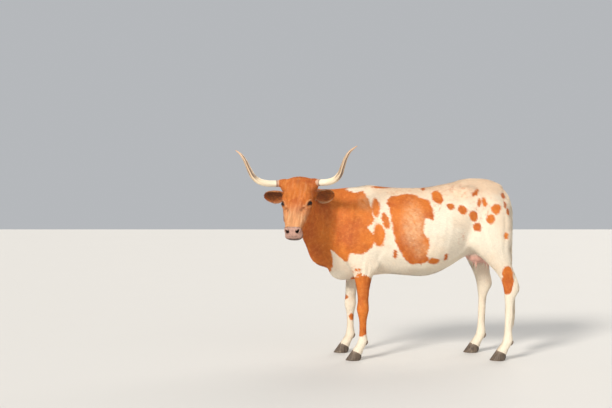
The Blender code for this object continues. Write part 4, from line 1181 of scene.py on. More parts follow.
# Markings of the coat. Outlines hold x and z; ellipses hold centre, half sizes and tilt.
markings = {
    "left": {
        "outlines": [
            [
                (-0.60, 1.60), (0.25, 1.60), (0.33, 1.36), (0.43, 1.33), (0.455, 1.297), (0.494, 1.227),
                (0.51, 1.158), (0.518, 1.081), (0.471, 1.05), (0.518, 0.98), (0.518, 0.918), (0.471, 0.864),
                (0.409, 0.841), (0.34, 0.841), (0.317, 0.787), (0.278, 0.795), (0.224, 0.841), (0.193, 0.864),
                (0.207, 0.779), (0.195, 0.705), (0.170, 0.650), (0.10, 0.62), (-0.1, 0.60), (-0.6, 0.60),
            ],
            [
                (0.629, 1.261), (0.786, 1.303), (0.889, 1.269), (0.955, 1.242), (0.977, 1.118), (0.91, 1.118),
                (0.897, 1.031), (0.912, 0.985), (0.943, 0.939), (0.92, 0.847), (0.932, 0.793), (0.828, 0.763),
                (0.786, 0.78), (0.728, 0.847), (0.685, 0.939), (0.662, 1.039), (0.652, 1.141),
            ],
            [(0.355, 0.640), (0.505, 0.660), (0.520, 0.400), (0.500, 0.230), (0.360, 0.200), (0.370, 0.420)],
            [(1.530, 0.735), (1.580, 0.745), (1.612, 0.670), (1.606, 0.570), (1.565, 0.520), (1.535, 0.600)],
        ],
        "spots": [
            (0.536, 1.200, 0.031, 0.075, 0), (0.609, 1.097, 0.029, 0.067, 15),
            (0.558, 0.988, 0.046, 0.092, 4), (0.683, 0.843, 0.017, 0.039, 0),
            (0.977, 0.789, 0.046, 0.023, 0), (1.071, 0.815, 0.020, 0.031, 0),
            (0.915, 1.336, 0.019, 0.012, 0), (1.013, 1.275, 0.039, 0.051, 30),
            (1.106, 1.208, 0.031, 0.025, 0), (1.202, 1.188, 0.037, 0.035, 0),
            (1.289, 1.144, 0.035, 0.045, 25), (1.320, 1.059, 0.029, 0.035, 0),
            (1.312, 1.318, 0.039, 0.017, 45), (1.338, 1.244, 0.017, 0.031, 0),
            (1.379, 1.247, 0.019, 0.039, 20), (1.468, 1.192, 0.037, 0.042, 0),
            (1.422, 1.117, 0.031, 0.039, 0), (1.543, 1.292, 0.019, 0.027, 0),
            (1.543, 1.221, 0.015, 0.027, 0), (1.568, 1.172, 0.019, 0.027, 0),
            (1.543, 0.988, 0.019, 0.027, 0), (0.385, 0.720, 0.012, 0.012, 0),
            (0.408, 0.720, 0.012, 0.012, 0), (0.411, 0.684, 0.023, 0.012, 20),
            (0.592, 1.353, 0.085, 0.012, 0),
        ],
        "clear": [(0.375, 1.338, 0.069, 0.025, 0)],
    },
    "right": {
        "outlines": [
            [
                (-0.60, 1.60), (0.25, 1.60), (0.36, 1.36), (0.48, 1.30), (0.53, 1.20), (0.50, 1.09),
                (0.54, 1.00), (0.50, 0.90), (0.42, 0.86), (0.36, 0.80), (0.28, 0.78), (0.22, 0.84),
                (0.20, 0.73), (0.17, 0.65), (0.10, 0.62), (-0.1, 0.60), (-0.6, 0.60),
            ],
            [
                (0.70, 1.22), (0.80, 1.29), (0.93, 1.28), (1.05, 1.20), (1.07, 1.06), (1.01, 0.98),
                (1.04, 0.90), (0.95, 0.81), (0.85, 0.83), (0.80, 0.92), (0.73, 0.98), (0.74, 1.10),
            ],
            [(1.40, 1.24), (1.50, 1.22), (1.55, 1.10), (1.50, 0.99), (1.41, 1.01), (1.37, 1.12)],
        ],
        "spots": [
            (0.60, 1.20, 0.03, 0.05, 10), (0.62, 1.03, 0.04, 0.05, -15), (0.60, 0.88, 0.03, 0.04, 0),
            (0.66, 0.76, 0.04, 0.02, 0), (1.14, 1.26, 0.04, 0.03, 0), (1.18, 1.12, 0.04, 0.05, 20),
            (1.16, 0.95, 0.03, 0.03, 0), (1.27, 1.30, 0.03, 0.02, 0), (1.28, 1.18, 0.02, 0.04, 0),
            (1.30, 1.02, 0.04, 0.03, 30), (1.36, 0.90, 0.03, 0.03, 0), (1.55, 1.28, 0.02, 0.03, 0),
            (1.58, 1.08, 0.02, 0.04, 0), (0.30, 0.60, 0.03, 0.04, 0), (0.32, 0.46, 0.03, 0.02, 0),
            (0.70, 1.34, 0.05, 0.015, 0), (0.38, 0.66, 0.03, 0.03, 0), (0.37, 0.30, 0.02, 0.03, 0),
        ],
        "clear": [],
    },
    "wobble": 0.003,
    "roan": [
        (0.675, 1.316, 0.11, 0.05), (0.56, 1.10, 0.06, 0.20), (1.36, 1.20, 0.24, 0.16),
        (0.99, 1.20, 0.10, 0.12), (1.15, 1.32, 0.40, 0.10), (0.74, 1.33, 0.16, 0.07),
        (0.38, 0.72, 0.10, 0.06), (1.21, 0.95, 0.10, 0.10),
    ],
    "faded": [(0.82, 1.06, 0.13, 0.26, 0.36), (0.87, 0.88, 0.10, 0.10, 0.24), (0.46, 1.24, 0.09, 0.10, 0.16)],
}


# Darker and paler places of the face: centre in u, v, n, radii and amount, on both sides. Several of the
# darker ones are painted shade in hollows, folds and recesses.
faceShades = {
    "pad": 0.412,  # where the bare pad of the nose starts
    "dark": [
        ((-0.012, 0.000, 0.000), (0.040, 0.150, 0.090), 0.50),  # fringe along the poll
        ((0.050, 0.000, 0.000), (0.105, 0.022, 0.080), 0.30),  # middle of the forehead
        ((0.258, 0.070, -0.015), (0.017, 0.020, 0.040), 0.60),  # painted shade in the hollow under the inner corner of the eye
        # painted shade further along the same hollow
        ((0.272, 0.052, -0.012), (0.018, 0.018, 0.040), 0.70),
        ((0.300, 0.036, -0.010), (0.070, 0.010, 0.040), 0.20),  # side of the nose bone
        ((0.075, 0.118, -0.050), (0.050, 0.040, 0.050), 0.50),  # painted shade in the recess between horn and ear
        ((0.190, 0.068, -0.005), (0.014, 0.016, 0.030), 0.22),  # painted shade in the fold over the eye
        ((0.380, -0.010, -0.020), (0.100, 0.012, 0.030), 0.16),
        ((0.435, 0.000, -0.130), (0.060, 0.062, 0.045), 0.60),  # a darker chin, with the shade under the muzzle painted into it
    ],
    "pale": [
        ((0.320, 0.074, -0.045), (0.075, 0.024, 0.045), 0.50),  # tear line
        ((0.238, 0.072, -0.010), (0.011, 0.020, 0.030), 0.45),  # lower lid
        ((0.390, 0.030, -0.020), (0.026, 0.050, 0.040), 0.42),  # above the pad
    ],
}


def waves(points, size, seed):  # a smooth random field of that grain, about -1 to 1
    made = np.random.default_rng(seed)
    total = np.zeros(len(points))
    for k in range(14):
        turn = unit(made.normal(size=3)) * (2 * math.pi / (size * made.uniform(0.6, 1.8)))
        total += np.sin(points @ turn + made.uniform(0, 2 * math.pi))
    return total / 3.7


def rounded(corners):  # the outline as a smooth closed curve
    table = np.array(corners)
    before, after, later = np.roll(table, 1, axis=0), np.roll(table, -1, axis=0), np.roll(table, -2, axis=0)
    made = []
    for t in (0, 0.25, 0.5, 0.75):
        bend = 2 * before - 5 * table + 4 * after - later + t * (3 * (table - after) + later - before)
        made.append(table + 0.5 * t * (after - before + t * bend))
    return np.stack(made, axis=1).reshape(-1, 2).tolist()


def outlineDepth(x, z, corners):  # distance inside the outline, negative outside
    best = np.full(len(x), 9.0)
    inside = np.zeros(len(x), bool)
    for (ax, az), (bx, bz) in zip(corners, corners[1:] + corners[:1]):
        dx, dz = bx - ax, bz - az
        t = np.clip(((x - ax) * dx + (z - az) * dz) / (dx * dx + dz * dz), 0, 1)
        best = np.minimum(best, np.hypot(x - ax - t * dx, z - az - t * dz))
        if az != bz:
            crosses = ((az > z) != (bz > z)) & (x < (z - az) * dx / dz + ax)
            inside ^= crosses
    return np.where(inside, best, -best)


def ellipseDepth(x, z, spot):
    cx, cz, rx, rz, tilt = spot
    c, s = math.cos(math.radians(tilt)), math.sin(math.radians(tilt))
    a, b = (x - cx) * c + (z - cz) * s, (z - cz) * c - (x - cx) * s
    return (1 - np.hypot(a / rx, b / rz)) * min(rx, rz)


def redDepth(points):  # how far inside a red patch, in metres
    wobble = markings["wobble"]
    x = points[:, 0] + wobble * waves(points, 0.05, 3) + 0.5 * wobble * waves(points, 0.018, 4)
    z = points[:, 2] + wobble * waves(points, 0.05, 5) + 0.5 * wobble * waves(points, 0.018, 6)
    depths = []
    for name in ("left", "right"):
        depth = np.full(len(points), -1.0)
        for corners in markings[name]["outlines"]:
            depth = np.maximum(depth, outlineDepth(x, z, rounded(corners)))
        for spot in markings[name]["spots"]:
            depth = np.maximum(depth, ellipseDepth(x, z, spot))
        for spot in markings[name]["clear"]:
            depth = np.minimum(depth, -ellipseDepth(x, z, spot))
        depths.append(depth)
    share = ease(points[:, 1], -0.03, 0.03)
    return mixed(*depths, share)


def blob(local, centre, radii):  # 1 at the centre, 0 from the rim of the ellipsoid outwards
    return 1 - ease(np.linalg.norm((local - centre) / radii, axis=1), 0.0, 1.0)


def onEar(points):  # 1 on the ears, the share of the length, which ear, and the share of the half width
    found = np.zeros((4, len(points)))
    for side in (-1, 1):
        line, rows = earLine(side)
        distance, share = lineDistance(points, [np.array(point) for point in line])
        halves = np.interp(share * (len(rows) - 1), range(len(rows)), [row[3] for row in rows])
        here = (distance < 0.066) & (share > 0.17) & (points @ np.array(across) * side > 0)
        here &= (points - np.array(poll)) @ np.array(upright) < -0.072
        reach = distance[here] / halves[here]
        found[:, here] = [ease(share[here], 0.17, 0.30), share[here], np.full(here.sum(), side), reach]
    return found


def noseMarks(u, v, n, grain):  # the pad of the nose, the bare lower lip, and how dark the pad's edge is: its upper edge is darker skin, and the band along the mouth line is painted shade
    front = faceShades["pad"] + 0.20 * np.maximum(v - 0.045, 0) - 0.004 * grain
    below = 1 - ease(n, mouth["line"] - 0.006, mouth["line"] + 0.002)
    pad = ease(u - front, 0.0, 0.010) * (1 - below)
    edge = 0.85 * np.exp(-(((u - front - 0.005) / 0.006) ** 2))
    # painted shade along the crease of the mouth
    edge += 0.8 * (1 - ease(n, mouth["line"], mouth["line"] + 0.011))
    return pad, ease(u + 0.003 * grain, 0.440, 0.452) * below, np.clip(edge * (0.8 + 0.5 * grain), 0, 1)


def lidMarks(points, side):  # bare lids, their dark edge, and the pale ring round them
    centre, look, line, upper = eyeFrame(side)
    place = (points - np.array(centre)) @ np.array([line, upper, look]).T
    level = openingLevel(place[:, 0], place[:, 1])
    ahead = place[:, 2] > eye["behind"]
    ring = hump(level, 2.0, 0.26) * ease(np.abs(place[:, 1]), 0.004, 0.016)
    return (1 - ease(level, 1.0, 1.35)) * ahead, (1 - ease(level, 1.25, 1.75)) * ahead, 0.40 * ring * ahead


def nostrilWallAndShade(points, side):  # inside the nostril: darker skin, and the shade of the hole painted in
    place, outward, _, _ = nostrilFrames[side]
    away = (points - np.array(place)) @ np.array(outward)
    near = np.linalg.norm(points - np.array(place) - np.outer(away, outward), axis=1)
    return (1 - ease(near, 0.013, 0.021)) * (1 - ease(away, -0.010, -0.003)) * (away > -0.036)


def earMarks(points, normals, grain):  # where the ears are, how much painted shade lies in their cups, and how pale on the rim
    mask, along, which, outward = onEar(points)
    facing = np.where(which > 0, normals @ np.array(earFace(1)), normals @ np.array(earFace(-1)))
    # painted shade inside each cup, deepest in its middle and stronger on her right ear
    inner = mask * ease(facing, 0.0, 0.35)
    deep = inner * (1 - ease(outward, 0.45, 0.95)) * (1 - ease(along, 0.80, 0.97))
    shade = deep * np.where(which < 0, 0.55, 0.45) + inner * np.where(which < 0, 0.55, 0.38)
    rim = mask * ease(outward, 0.80, 1.0) * (1 - ease(outward, 1.1, 1.3)) * ease(facing, -0.6, 0.0)
    return mask, shade * (1 + 0.5 * grain), rim * np.where(which > 0, 0.60, 0.25)


def udderMark(points, grain):
    x, y, z = points.T
    bag = np.linalg.norm((points - (1.395, 0, 0.79)) / (0.165, 0.125, 0.105), axis=1)
    bag = (1 - ease(bag + 0.04 * grain, 0.93, 1.04)) * (1 - ease(z, 0.80, 0.86))
    return np.maximum(bag, (z < 0.745) & (z > 0.66) & (np.abs(y) < 0.085) & (x > 1.30) & (x < 1.49))


def sideBlob(points, x, z, rx, rz, solid):  # the same on both flanks, 1 out to the solid share of its radii
    return 1 - ease(np.hypot((points[:, 0] - x) / rx, (points[:, 2] - z) / rz), solid, 1.0)


def markingsAt(points, normals):
    local = headSpace(points)
    u, v, n = local[:, 0], np.abs(local[:, 1]), local[:, 2]
    folded = np.column_stack([u, v, n])
    head = 1 - ease(headDistance(points), 0.32, 0.36)
    grain = waves(points, 0.012, 8)
    streak = waves(local * (0.12, 1, 1), 0.016, 15) * head * ease(n, -0.09, -0.03)
    pad, lowerLip, edge = noseMarks(u, v, n, grain)
    bare = head * (pad + lowerLip)
    # the dark lower lip is darker skin with the shade under the mouth painted in
    dark = np.maximum(head * pad * edge, 0.85 * head * lowerLip)
    pale = head * 0.30 * ease(u, 0.19, 0.34) * ease(n, -0.08, -0.03)
    dark = np.maximum(dark, 0.13 * head * (1 - ease(u, 0.08, 0.20)))
    for centre, radii, amount in faceShades["dark"]:
        dark = np.maximum(dark, amount * blob(folded, centre, radii))
    for centre, radii, amount in faceShades["pale"]:
        pale = np.maximum(pale, amount * blob(folded, centre, radii))
    pale = pale + (0.05 + 0.08 * ease(u, 0.18, 0.30)) * np.maximum(streak, 0)
    dark = dark + 0.13 * np.maximum(-streak, 0)
    for side in (-1, 1):
        lids, lash, ring = lidMarks(points, side)
        bare, pale = np.maximum(bare, lids), np.maximum(pale, ring)
        # dark lid rims, and the nostrils' dark walls with painted shade
        dark = np.maximum(np.maximum(dark, lash), nostrilWallAndShade(points, side))
    udder = udderMark(points, grain)
    # the ears' cups take painted shade
    earMask, earCupShade, earRim = earMarks(points, normals, grain)
    dark = np.maximum(dark, earCupShade)
    pale = np.maximum(pale * (1 - earMask), earRim)
    warm = ease(points[:, 2] + 0.02 * waves(points, 0.09, 9), 1.16, 1.36) * ease(points[:, 0], 0.35, 0.6)
    for x, z, rx, rz, amount in markings["faded"]:
        faded = sideBlob(points, x, z, rx, rz, 0.2)
        pale = np.maximum(pale, amount * faded * (1 + 0.4 * waves(points, 0.03, 10)))
    roan = np.zeros(len(points))
    for spot in markings["roan"]:
        roan = np.maximum(roan, sideBlob(points, *spot, 0.3))
    return {
        "patch": redDepth(points),
        "bare": np.maximum(bare, udder),
        # darker hair and skin, together with the painted shade of hollows, folds, ear cups, nostrils and the
        # mouth
        "dark": np.minimum(dark, 1),
        "pale": np.minimum(pale, 1),
        "udder": udder,
        "roan": roan,
        "warm": warm,
        "muzzle": head * np.maximum(pad, lowerLip),
    }


def paintSkin(body):
    points, normals = pointsOf(body.data), normalsOf(body.data)
    for name, values in markingsAt(points, normals).items():
        keepAttribute(body.data, name, values)
    stage("markings laid on the skin")


paintSkin(body)

# The coat: short tufts that lie along the body and overlap. Lengths and widths in metres.
coat = {
    "cover": 2.6,  # how many tufts lie over each place
    "body": (0.020, 0.0030),
    "shank": (0.0100, 0.0019),
    "face": (0.0095, 0.0015),
    "nose": (0.0055, 0.0011),
    "ear": (0.0120, 0.0016),
    "poll": 2.4,
    "whorl": 0.120,  # u of the middle of the forehead, where the hair turns round
    "lift": 0.11,
    "spread": 0.30,
    "shadeLean": 0.12,  # how far a tuft's shading normal leans back against its lie
    "patch": 0.003,
    "most": 64000,  # tufts in one piece
}


# Which way the hair lies on each part, and the planes, as a point and a normal, where neck and head start
lies = {
    "trunk": (1.0, 0.0, -0.30),
    "rump": (0.45, 0.0, -0.9),
    "legs": (0.12, 0.0, -1.0),
    "neck": (0.50, 0.30, -0.55),
    "tail": (0.0, 0.0, -1.0),
    "neckFrom": ((0.170, 0, 0.960), (-0.965, -0.06, 0.263)),
    "headFrom": ((-0.020, -0.176, 1.225), (-0.335, -0.930, 0.12)),
    "belly": ((0.95, 0.0, 0.64), (0.42, 0.5, 0.20)),
}


def past(points, plane):  # how far the points lie past it
    point, normal = lies[plane]
    return (points - point) @ np.array(normal)


def faceLie(u, v, n):  # it turns round the whorl, runs down the nose, and back along the cheeks
    still = 0 * u
    away = unit(np.column_stack([u - coat["whorl"], v]))
    lie = np.column_stack([away[:, 0] - 0.4 * away[:, 1], 0.8 * away[:, 1] + 0.4 * away[:, 0], -0.2 + still])
    lie = mixed(lie, np.column_stack([1.0 + still, 1.5 * v, -0.2 + still]), ease(u, 0.17, 0.27)[:, None])
    return mixed(lie, np.column_stack([0.25 + still, still, -1 + still]), ease(-n, 0.05, 0.11)[:, None])


def lieAt(points):
    x, y, z = points.T
    lie = np.tile(np.array(lies["trunk"]), (len(points), 1))
    low = (1 - ease(z, 0.62, 0.88))[:, None] * (1 - blob(points, *lies["belly"]))[:, None]
    lie = mixed(lie, np.array(lies["rump"]), ease(x, 1.05, 1.45)[:, None])
    lie = mixed(lie, np.array(lies["legs"]), low)
    lie = mixed(lie, np.array(lies["neck"]), ease(past(points, "neckFrom"), -0.12, 0.06)[:, None])
    tailed = ((x > 1.59) & (np.abs(y) < 0.04) & (z < 1.25) | (x > 1.607) & (np.abs(y) < 0.03))[:, None]
    lie = np.where(tailed, np.array(lies["tail"]), lie)
    facial = faceLie(*headSpace(points).T) @ headAxes
    lie = mixed(lie, facial, ease(past(points, "headFrom"), -0.01, 0.05)[:, None])
    mask, _, which, _ = onEar(points)
    for side in (-1, 1):
        line = earLine(side)[0]
        along = np.array((line[-1] - line[ear["rootPoint"]]).normalized())
        lie = mixed(lie, along, ((which == side) * mask)[:, None])
    return lie


def sizeAt(points):  # length and width of a tuft
    local = headSpace(points)
    face = 1 - ease(headDistance(points), 0.25, 0.36)
    shares = {
        "shank": 1 - ease(points[:, 2], 0.40, 0.85),
        "face": face,
        "nose": face * ease(local[:, 0], 0.28, 0.40),
        "ear": onEar(points)[0],
    }
    size = np.array(coat["body"])
    for part, share in shares.items():
        size = mixed(size, np.array(coat[part]), share[:, None])
    size[:, 0] *= 1 + (coat["poll"] - 1) * blob(local, (0.0, 0.0, 0.0), (0.055, 0.11, 0.06))
    return size


def growTufts(body):
    mesh = body.data
    mesh.calc_loop_triangles()
    count = len(mesh.loop_triangles)
    corners, loops = np.empty(count * 3, int), np.empty(count * 3, int)
    mesh.loop_triangles.foreach_get("vertices", corners)
    mesh.loop_triangles.foreach_get("loops", loops)
    corners, loops = corners.reshape(-1, 3), loops.reshape(-1, 3)
    places = np.empty(len(mesh.loops) * 2)
    mesh.uv_layers["OFBake"].data.foreach_get("uv", places)
    places = places.reshape(-1, 2)
    points, normals = pointsOf(mesh), normalsOf(mesh)
    a, b, c = points[corners[:, 0]], points[corners[:, 1]], points[corners[:, 2]]
    flat = np.cross(b - a, c - a)
    area = np.linalg.norm(flat, axis=1) / 2
    middle, facing = (a + b + c) / 3, unit(flat)
    paints = markingsAt(middle, facing)
    size = sizeAt(middle)
    haired = 1 - np.clip(np.maximum(paints["bare"], paints["udder"]) * 1.6 - 0.2, 0, 1)
    wanted = coat["cover"] * area / (size[:, 0] * size[:, 1]) * haired
    number = np.floor(wanted + rng.random(count)).astype(int)
    owner = np.repeat(np.arange(count), number)
    share = rng.random((len(owner), 2))
    flip = share.sum(axis=1) > 1
    share[flip] = 1 - share[flip]
    weights = np.column_stack([1 - share.sum(axis=1), share])[:, :, None]
    root = (points[corners[owner]] * weights).sum(axis=1)
    normal = unit((normals[corners[owner]] * weights).sum(axis=1))
    uv = (places[loops[owner]] * weights).sum(axis=1)
    stage(f"{len(owner)} tufts placed")
    return root, normal, uv


# A tuft is a blade of five points, two at its root, two at its middle and one at its tip. They are
# given as shares of its length, width and lift, and its two faces by the points at their corners.
blade = {
    "along": (0.0, 0.0, 0.55, 0.55, 1.0),
    "aside": (-0.42, 0.42, -0.5, 0.5, 0.0),
    "rise": (-0.06, -0.06, 0.75, 0.75, 1.0),
    "tip": (0.0, 0.0, 0.6, 0.6, 1.0),
    "unwrap": ((-0.4, 0.0), (0.4, 0.0), (-0.5, 0.5), (0.5, 0.5), (0.0, 1.0)),
    "corners": (0, 2, 3, 1, 2, 4, 3),
    "faceStarts": (0, 4),
}


def tuftShapes(root, normal):
    count = len(root)
    size = sizeAt(root)
    length = size[:, 0] * rng.uniform(0.75, 1.2, count)
    width = size[:, 1] * rng.uniform(0.7, 1.25, count)
    lie = lieAt(root)
    lie = unit(lie - normal * (lie * normal).sum(axis=1)[:, None])
    wide = np.cross(normal, lie)
    turn = rng.normal(0, coat["spread"], count) + 0.35 * waves(root, 0.10, 12)
    lie, wide = (lie * np.cos(turn)[:, None] + wide * np.sin(turn)[:, None],
                 wide * np.cos(turn)[:, None] - lie * np.sin(turn)[:, None])
    lift = coat["lift"] * rng.uniform(0.5, 1.3, count)
    verts = root[:, None] + lie[:, None] * (length[:, None] * np.array(blade["along"]))[:, :, None]
    verts += wide[:, None] * (width[:, None] * np.array(blade["aside"]))[:, :, None]
    verts += normal[:, None] * ((length * lift)[:, None] * np.array(blade["rise"]))[:, :, None]
    return verts, lie


def coatPiece(name, verts, normal, lie, uv, paints, material, slot):
    count, points, corners = len(verts), len(blade["along"]), list(blade["corners"])
    numbers = np.arange(count)[:, None]
    mesh = bpy.data.meshes.new(name)
    mesh.vertices.add(count * points)
    mesh.vertices.foreach_set("co", verts.ravel())
    mesh.loops.add(count * len(corners))
    mesh.loops.foreach_set("vertex_index", (numbers * points + np.array(corners)).ravel())
    mesh.polygons.add(count * 2)
    starts = numbers * len(corners) + np.array(blade["faceStarts"])
    mesh.polygons.foreach_set("loop_start", starts.ravel())
    mesh.update(calc_edges=True)
    patch = uv[:, None] + np.array(blade["unwrap"]) * coat["patch"]
    layer = mesh.uv_layers.new(name="OFBake")
    layer.data.foreach_set("uv", patch[:, corners].ravel())
    for key, values in paints.items():
        keepAttribute(mesh, key, np.repeat(values, points))
    keepAttribute(mesh, "strand", np.repeat(rng.random(count), points))
    keepAttribute(mesh, "tip", np.tile(blade["tip"], count))
    soft = unit(normal - coat["shadeLean"] * lie)
    mesh.normals_split_custom_set_from_vertices(np.repeat(soft, points, axis=0).tolist())
    return finishPiece(placeObject(name, mesh), material, slot)


# Materials. A Wire is a node's output that sums can be written with.
class Wire:
    def __init__(self, finish, socket):
        self.finish, self.socket = finish, socket

    def math(self, operation, *values):
        return self.finish.add("ShaderNodeMath", {"operation": operation}, dict(enumerate(values)))

    def __add__(self, other):
        return self.math("ADD", self, other)

    def __sub__(self, other):
        return self.math("SUBTRACT", self, other)

    def __rsub__(self, other):
        return self.math("SUBTRACT", other, self)

    def __mul__(self, other):
        return self.math("MULTIPLY", self, other)

    __radd__ = __add__
    __rmul__ = __mul__

    def most(self, other):
        return self.math("MAXIMUM", self, other)

    def rise(self, low, high):  # 0 at low and 1 at high, smooth between
        settings = {"interpolation_type": "SMOOTHSTEP"}
        return self.finish.add("ShaderNodeMapRange", settings, {0: self, 1: low, 2: high, 3: 0.0, 4: 1.0})


class Finish:
    def __init__(self, name, **constants):
        self.material = bpy.data.materials.new(name)
        self.material.use_nodes = True
        self.tree = self.material.node_tree
        self.shader = self.tree.nodes["Principled BSDF"]
        for key, value in constants.items():
            self.shader.inputs[key.replace("_", " ")].default_value = value

    def feed(self, socket, value):
        if isinstance(value, Wire):
            self.tree.links.new(value.socket, socket)
        elif isinstance(value, tuple) and len(value) == 3 and socket.type == "RGBA":
            socket.default_value = (*value, 1)
        else:
            socket.default_value = value

    def add(self, kind, settings=None, values=None, output=0):
        node = self.tree.nodes.new(kind)
        for key, value in (settings or {}).items():
            if key == "stops":
                while len(node.color_ramp.elements) < len(value):
                    node.color_ramp.elements.new(1)
                for element, (place, colour) in zip(node.color_ramp.elements, value):
                    element.position = place
                    element.color = (*colour, 1)
            else:
                setattr(node, key, value)
        for key, value in (values or {}).items():
            self.feed(node.inputs[key], value)
        return Wire(self, node.outputs[output])

    def place(self):
        return self.add("ShaderNodeTexCoord", output="Object")

    def own(self, name):
        return self.add("ShaderNodeAttribute", {"attribute_name": name}, output="Fac")

    def noise(self, place, scale, detail=3.0, rough=0.55, warp=0.0):
        values = {"Vector": place, "Scale": scale, "Detail": detail, "Roughness": rough, "Distortion": warp}
        return self.add("ShaderNodeTexNoise", {}, values)

    def stretch(self, place, scale, turn=(0, 0, 0)):
        return self.add("ShaderNodeMapping", {}, {"Vector": place, "Rotation": turn, "Scale": scale})

    def blend(self, share, first, second, how="MIX"):
        settings = {"data_type": "RGBA", "blend_type": how}
        return self.add("ShaderNodeMix", settings, {0: share, 6: first, 7: second}, output=2)

    def set(self, **sockets):
        for key, value in sockets.items():
            self.feed(self.shader.inputs[key.replace("_", " ")], value)

    def bump(self, height, distance, strength=1.0, below=None):
        values = {"Height": height, "Distance": distance, "Strength": strength}
        if below:
            values["Normal"] = below
        return self.add("ShaderNodeBump", {}, values)


hairColours = {
    "red": (0.640, 0.182, 0.028),
    "redLight": (0.740, 0.280, 0.066),
    "redDeep": (0.480, 0.110, 0.022),
    "white": (0.810, 0.720, 0.585),
    "whiteWarm": (0.770, 0.560, 0.380),
    "whiteGrey": (0.700, 0.630, 0.540),
    # dark hair, also used for painted shade in hollows, folds and ear cups
    "brown": (0.085, 0.030, 0.014),
    "cream": (0.830, 0.630, 0.375),
    "skin": (0.560, 0.330, 0.265),
    "muzzle": (0.520, 0.300, 0.232),
    "muzzleDark": (0.120, 0.066, 0.058),
    "udder": (0.700, 0.400, 0.320),
    # dark of bare skin on lid rims and lips, also used for painted shade in the nostrils and under the mouth
    "depth": (0.030, 0.014, 0.010),
}


def hideFinish(name, haired):
    c = hairColours
    gloss = {"Specular_IOR_Level": 0.18, "Sheen_Weight": 0.03, "Sheen_Roughness": 0.5, "Coat_Roughness": 0.28}
    finish = Finish(name, **gloss)
    place = finish.place()
    broad = finish.noise(place, 5.0, 3.0)
    mottle = finish.noise(place, 38.0, 3.0, 0.6)
    fleck = finish.noise(place, 230.0, 2.0, 0.6)
    edge = finish.own("patch") + (mottle - 0.5) * 0.004 + (fleck - 0.5) * 0.004
    roan = finish.own("roan")
    speck = (mottle * 0.5 + fleck * 0.5 - (0.60 - 0.06 * roan)).rise(0.0, 0.06) * roan * 0.6
    red = edge.rise(-0.0025, 0.0035).most(speck)
    redHair = finish.blend(broad.rise(0.35, 0.68), c["redDeep"], c["red"])
    redHair = finish.blend(mottle.rise(0.40, 0.75) * 0.45, redHair, c["redLight"])
    warmth = (broad.rise(0.42, 0.70) * 0.35).most(finish.own("warm") * (0.65 + 0.7 * (mottle - 0.3)))
    whiteHair = finish.blend(warmth, c["white"], c["whiteWarm"])
    whiteHair = finish.blend(mottle.rise(0.52, 0.78) * 0.35, whiteHair, c["whiteGrey"])
    colour = finish.blend(red, whiteHair, redHair)
    colour = finish.blend(finish.own("pale"), colour, c["cream"])
    # darker hair, and painted shade in hollows, folds and ear cups
    colour = finish.blend(finish.own("dark") * 0.85, colour, c["brown"])
    udder = finish.own("udder")
    skinColour = finish.blend(finish.own("muzzle"), c["skin"], c["muzzle"])
    skinColour = finish.blend(udder, skinColour, c["udder"])
    skinColour = finish.blend(mottle.rise(0.45, 0.75) * 0.45, skinColour, c["muzzleDark"])
    # dark skin, and painted shade in the nostrils and under the mouth
    skinColour = finish.blend(finish.own("dark"), skinColour, c["depth"])
    bare = finish.own("bare")
    colour = finish.blend(bare, colour, skinColour)
    if haired:
        strand, tip = finish.own("strand"), finish.own("tip")
        shade = 0.84 + strand * 0.20 + tip * 0.13
        grey = finish.add("ShaderNodeCombineColor", {}, {0: shade, 1: shade, 2: shade})
        colour = finish.blend(1.0, colour, grey, "MULTIPLY")
        finish.set(Base_Color=colour, Roughness=0.52 + strand * 0.16)
        return finish.material
    fine = finish.noise(place, 900.0, 2.0, 0.6)
    values = {"Vector": place, "Scale": 330.0}
    cells = finish.add("ShaderNodeTexVoronoi", {"feature": "DISTANCE_TO_EDGE"}, values)
    grain = bare * cells.rise(0.0, 0.14) + (1 - bare) * fine
    wrinkle = finish.noise(finish.stretch(place, (1.0, 1.0, 0.45)), 60.0, 4.0, 0.6, 0.6)
    bumped = finish.bump(grain, 0.0006, 0.7, finish.bump(wrinkle, 0.0015, 0.5))
    finish.set(Base_Color=colour, Roughness=0.66 - 0.30 * bare + 0.10 * mottle, Normal=bumped,
               Coat_Weight=finish.own("muzzle") * (1 - finish.own("dark")) * 0.45)
    return finish.material


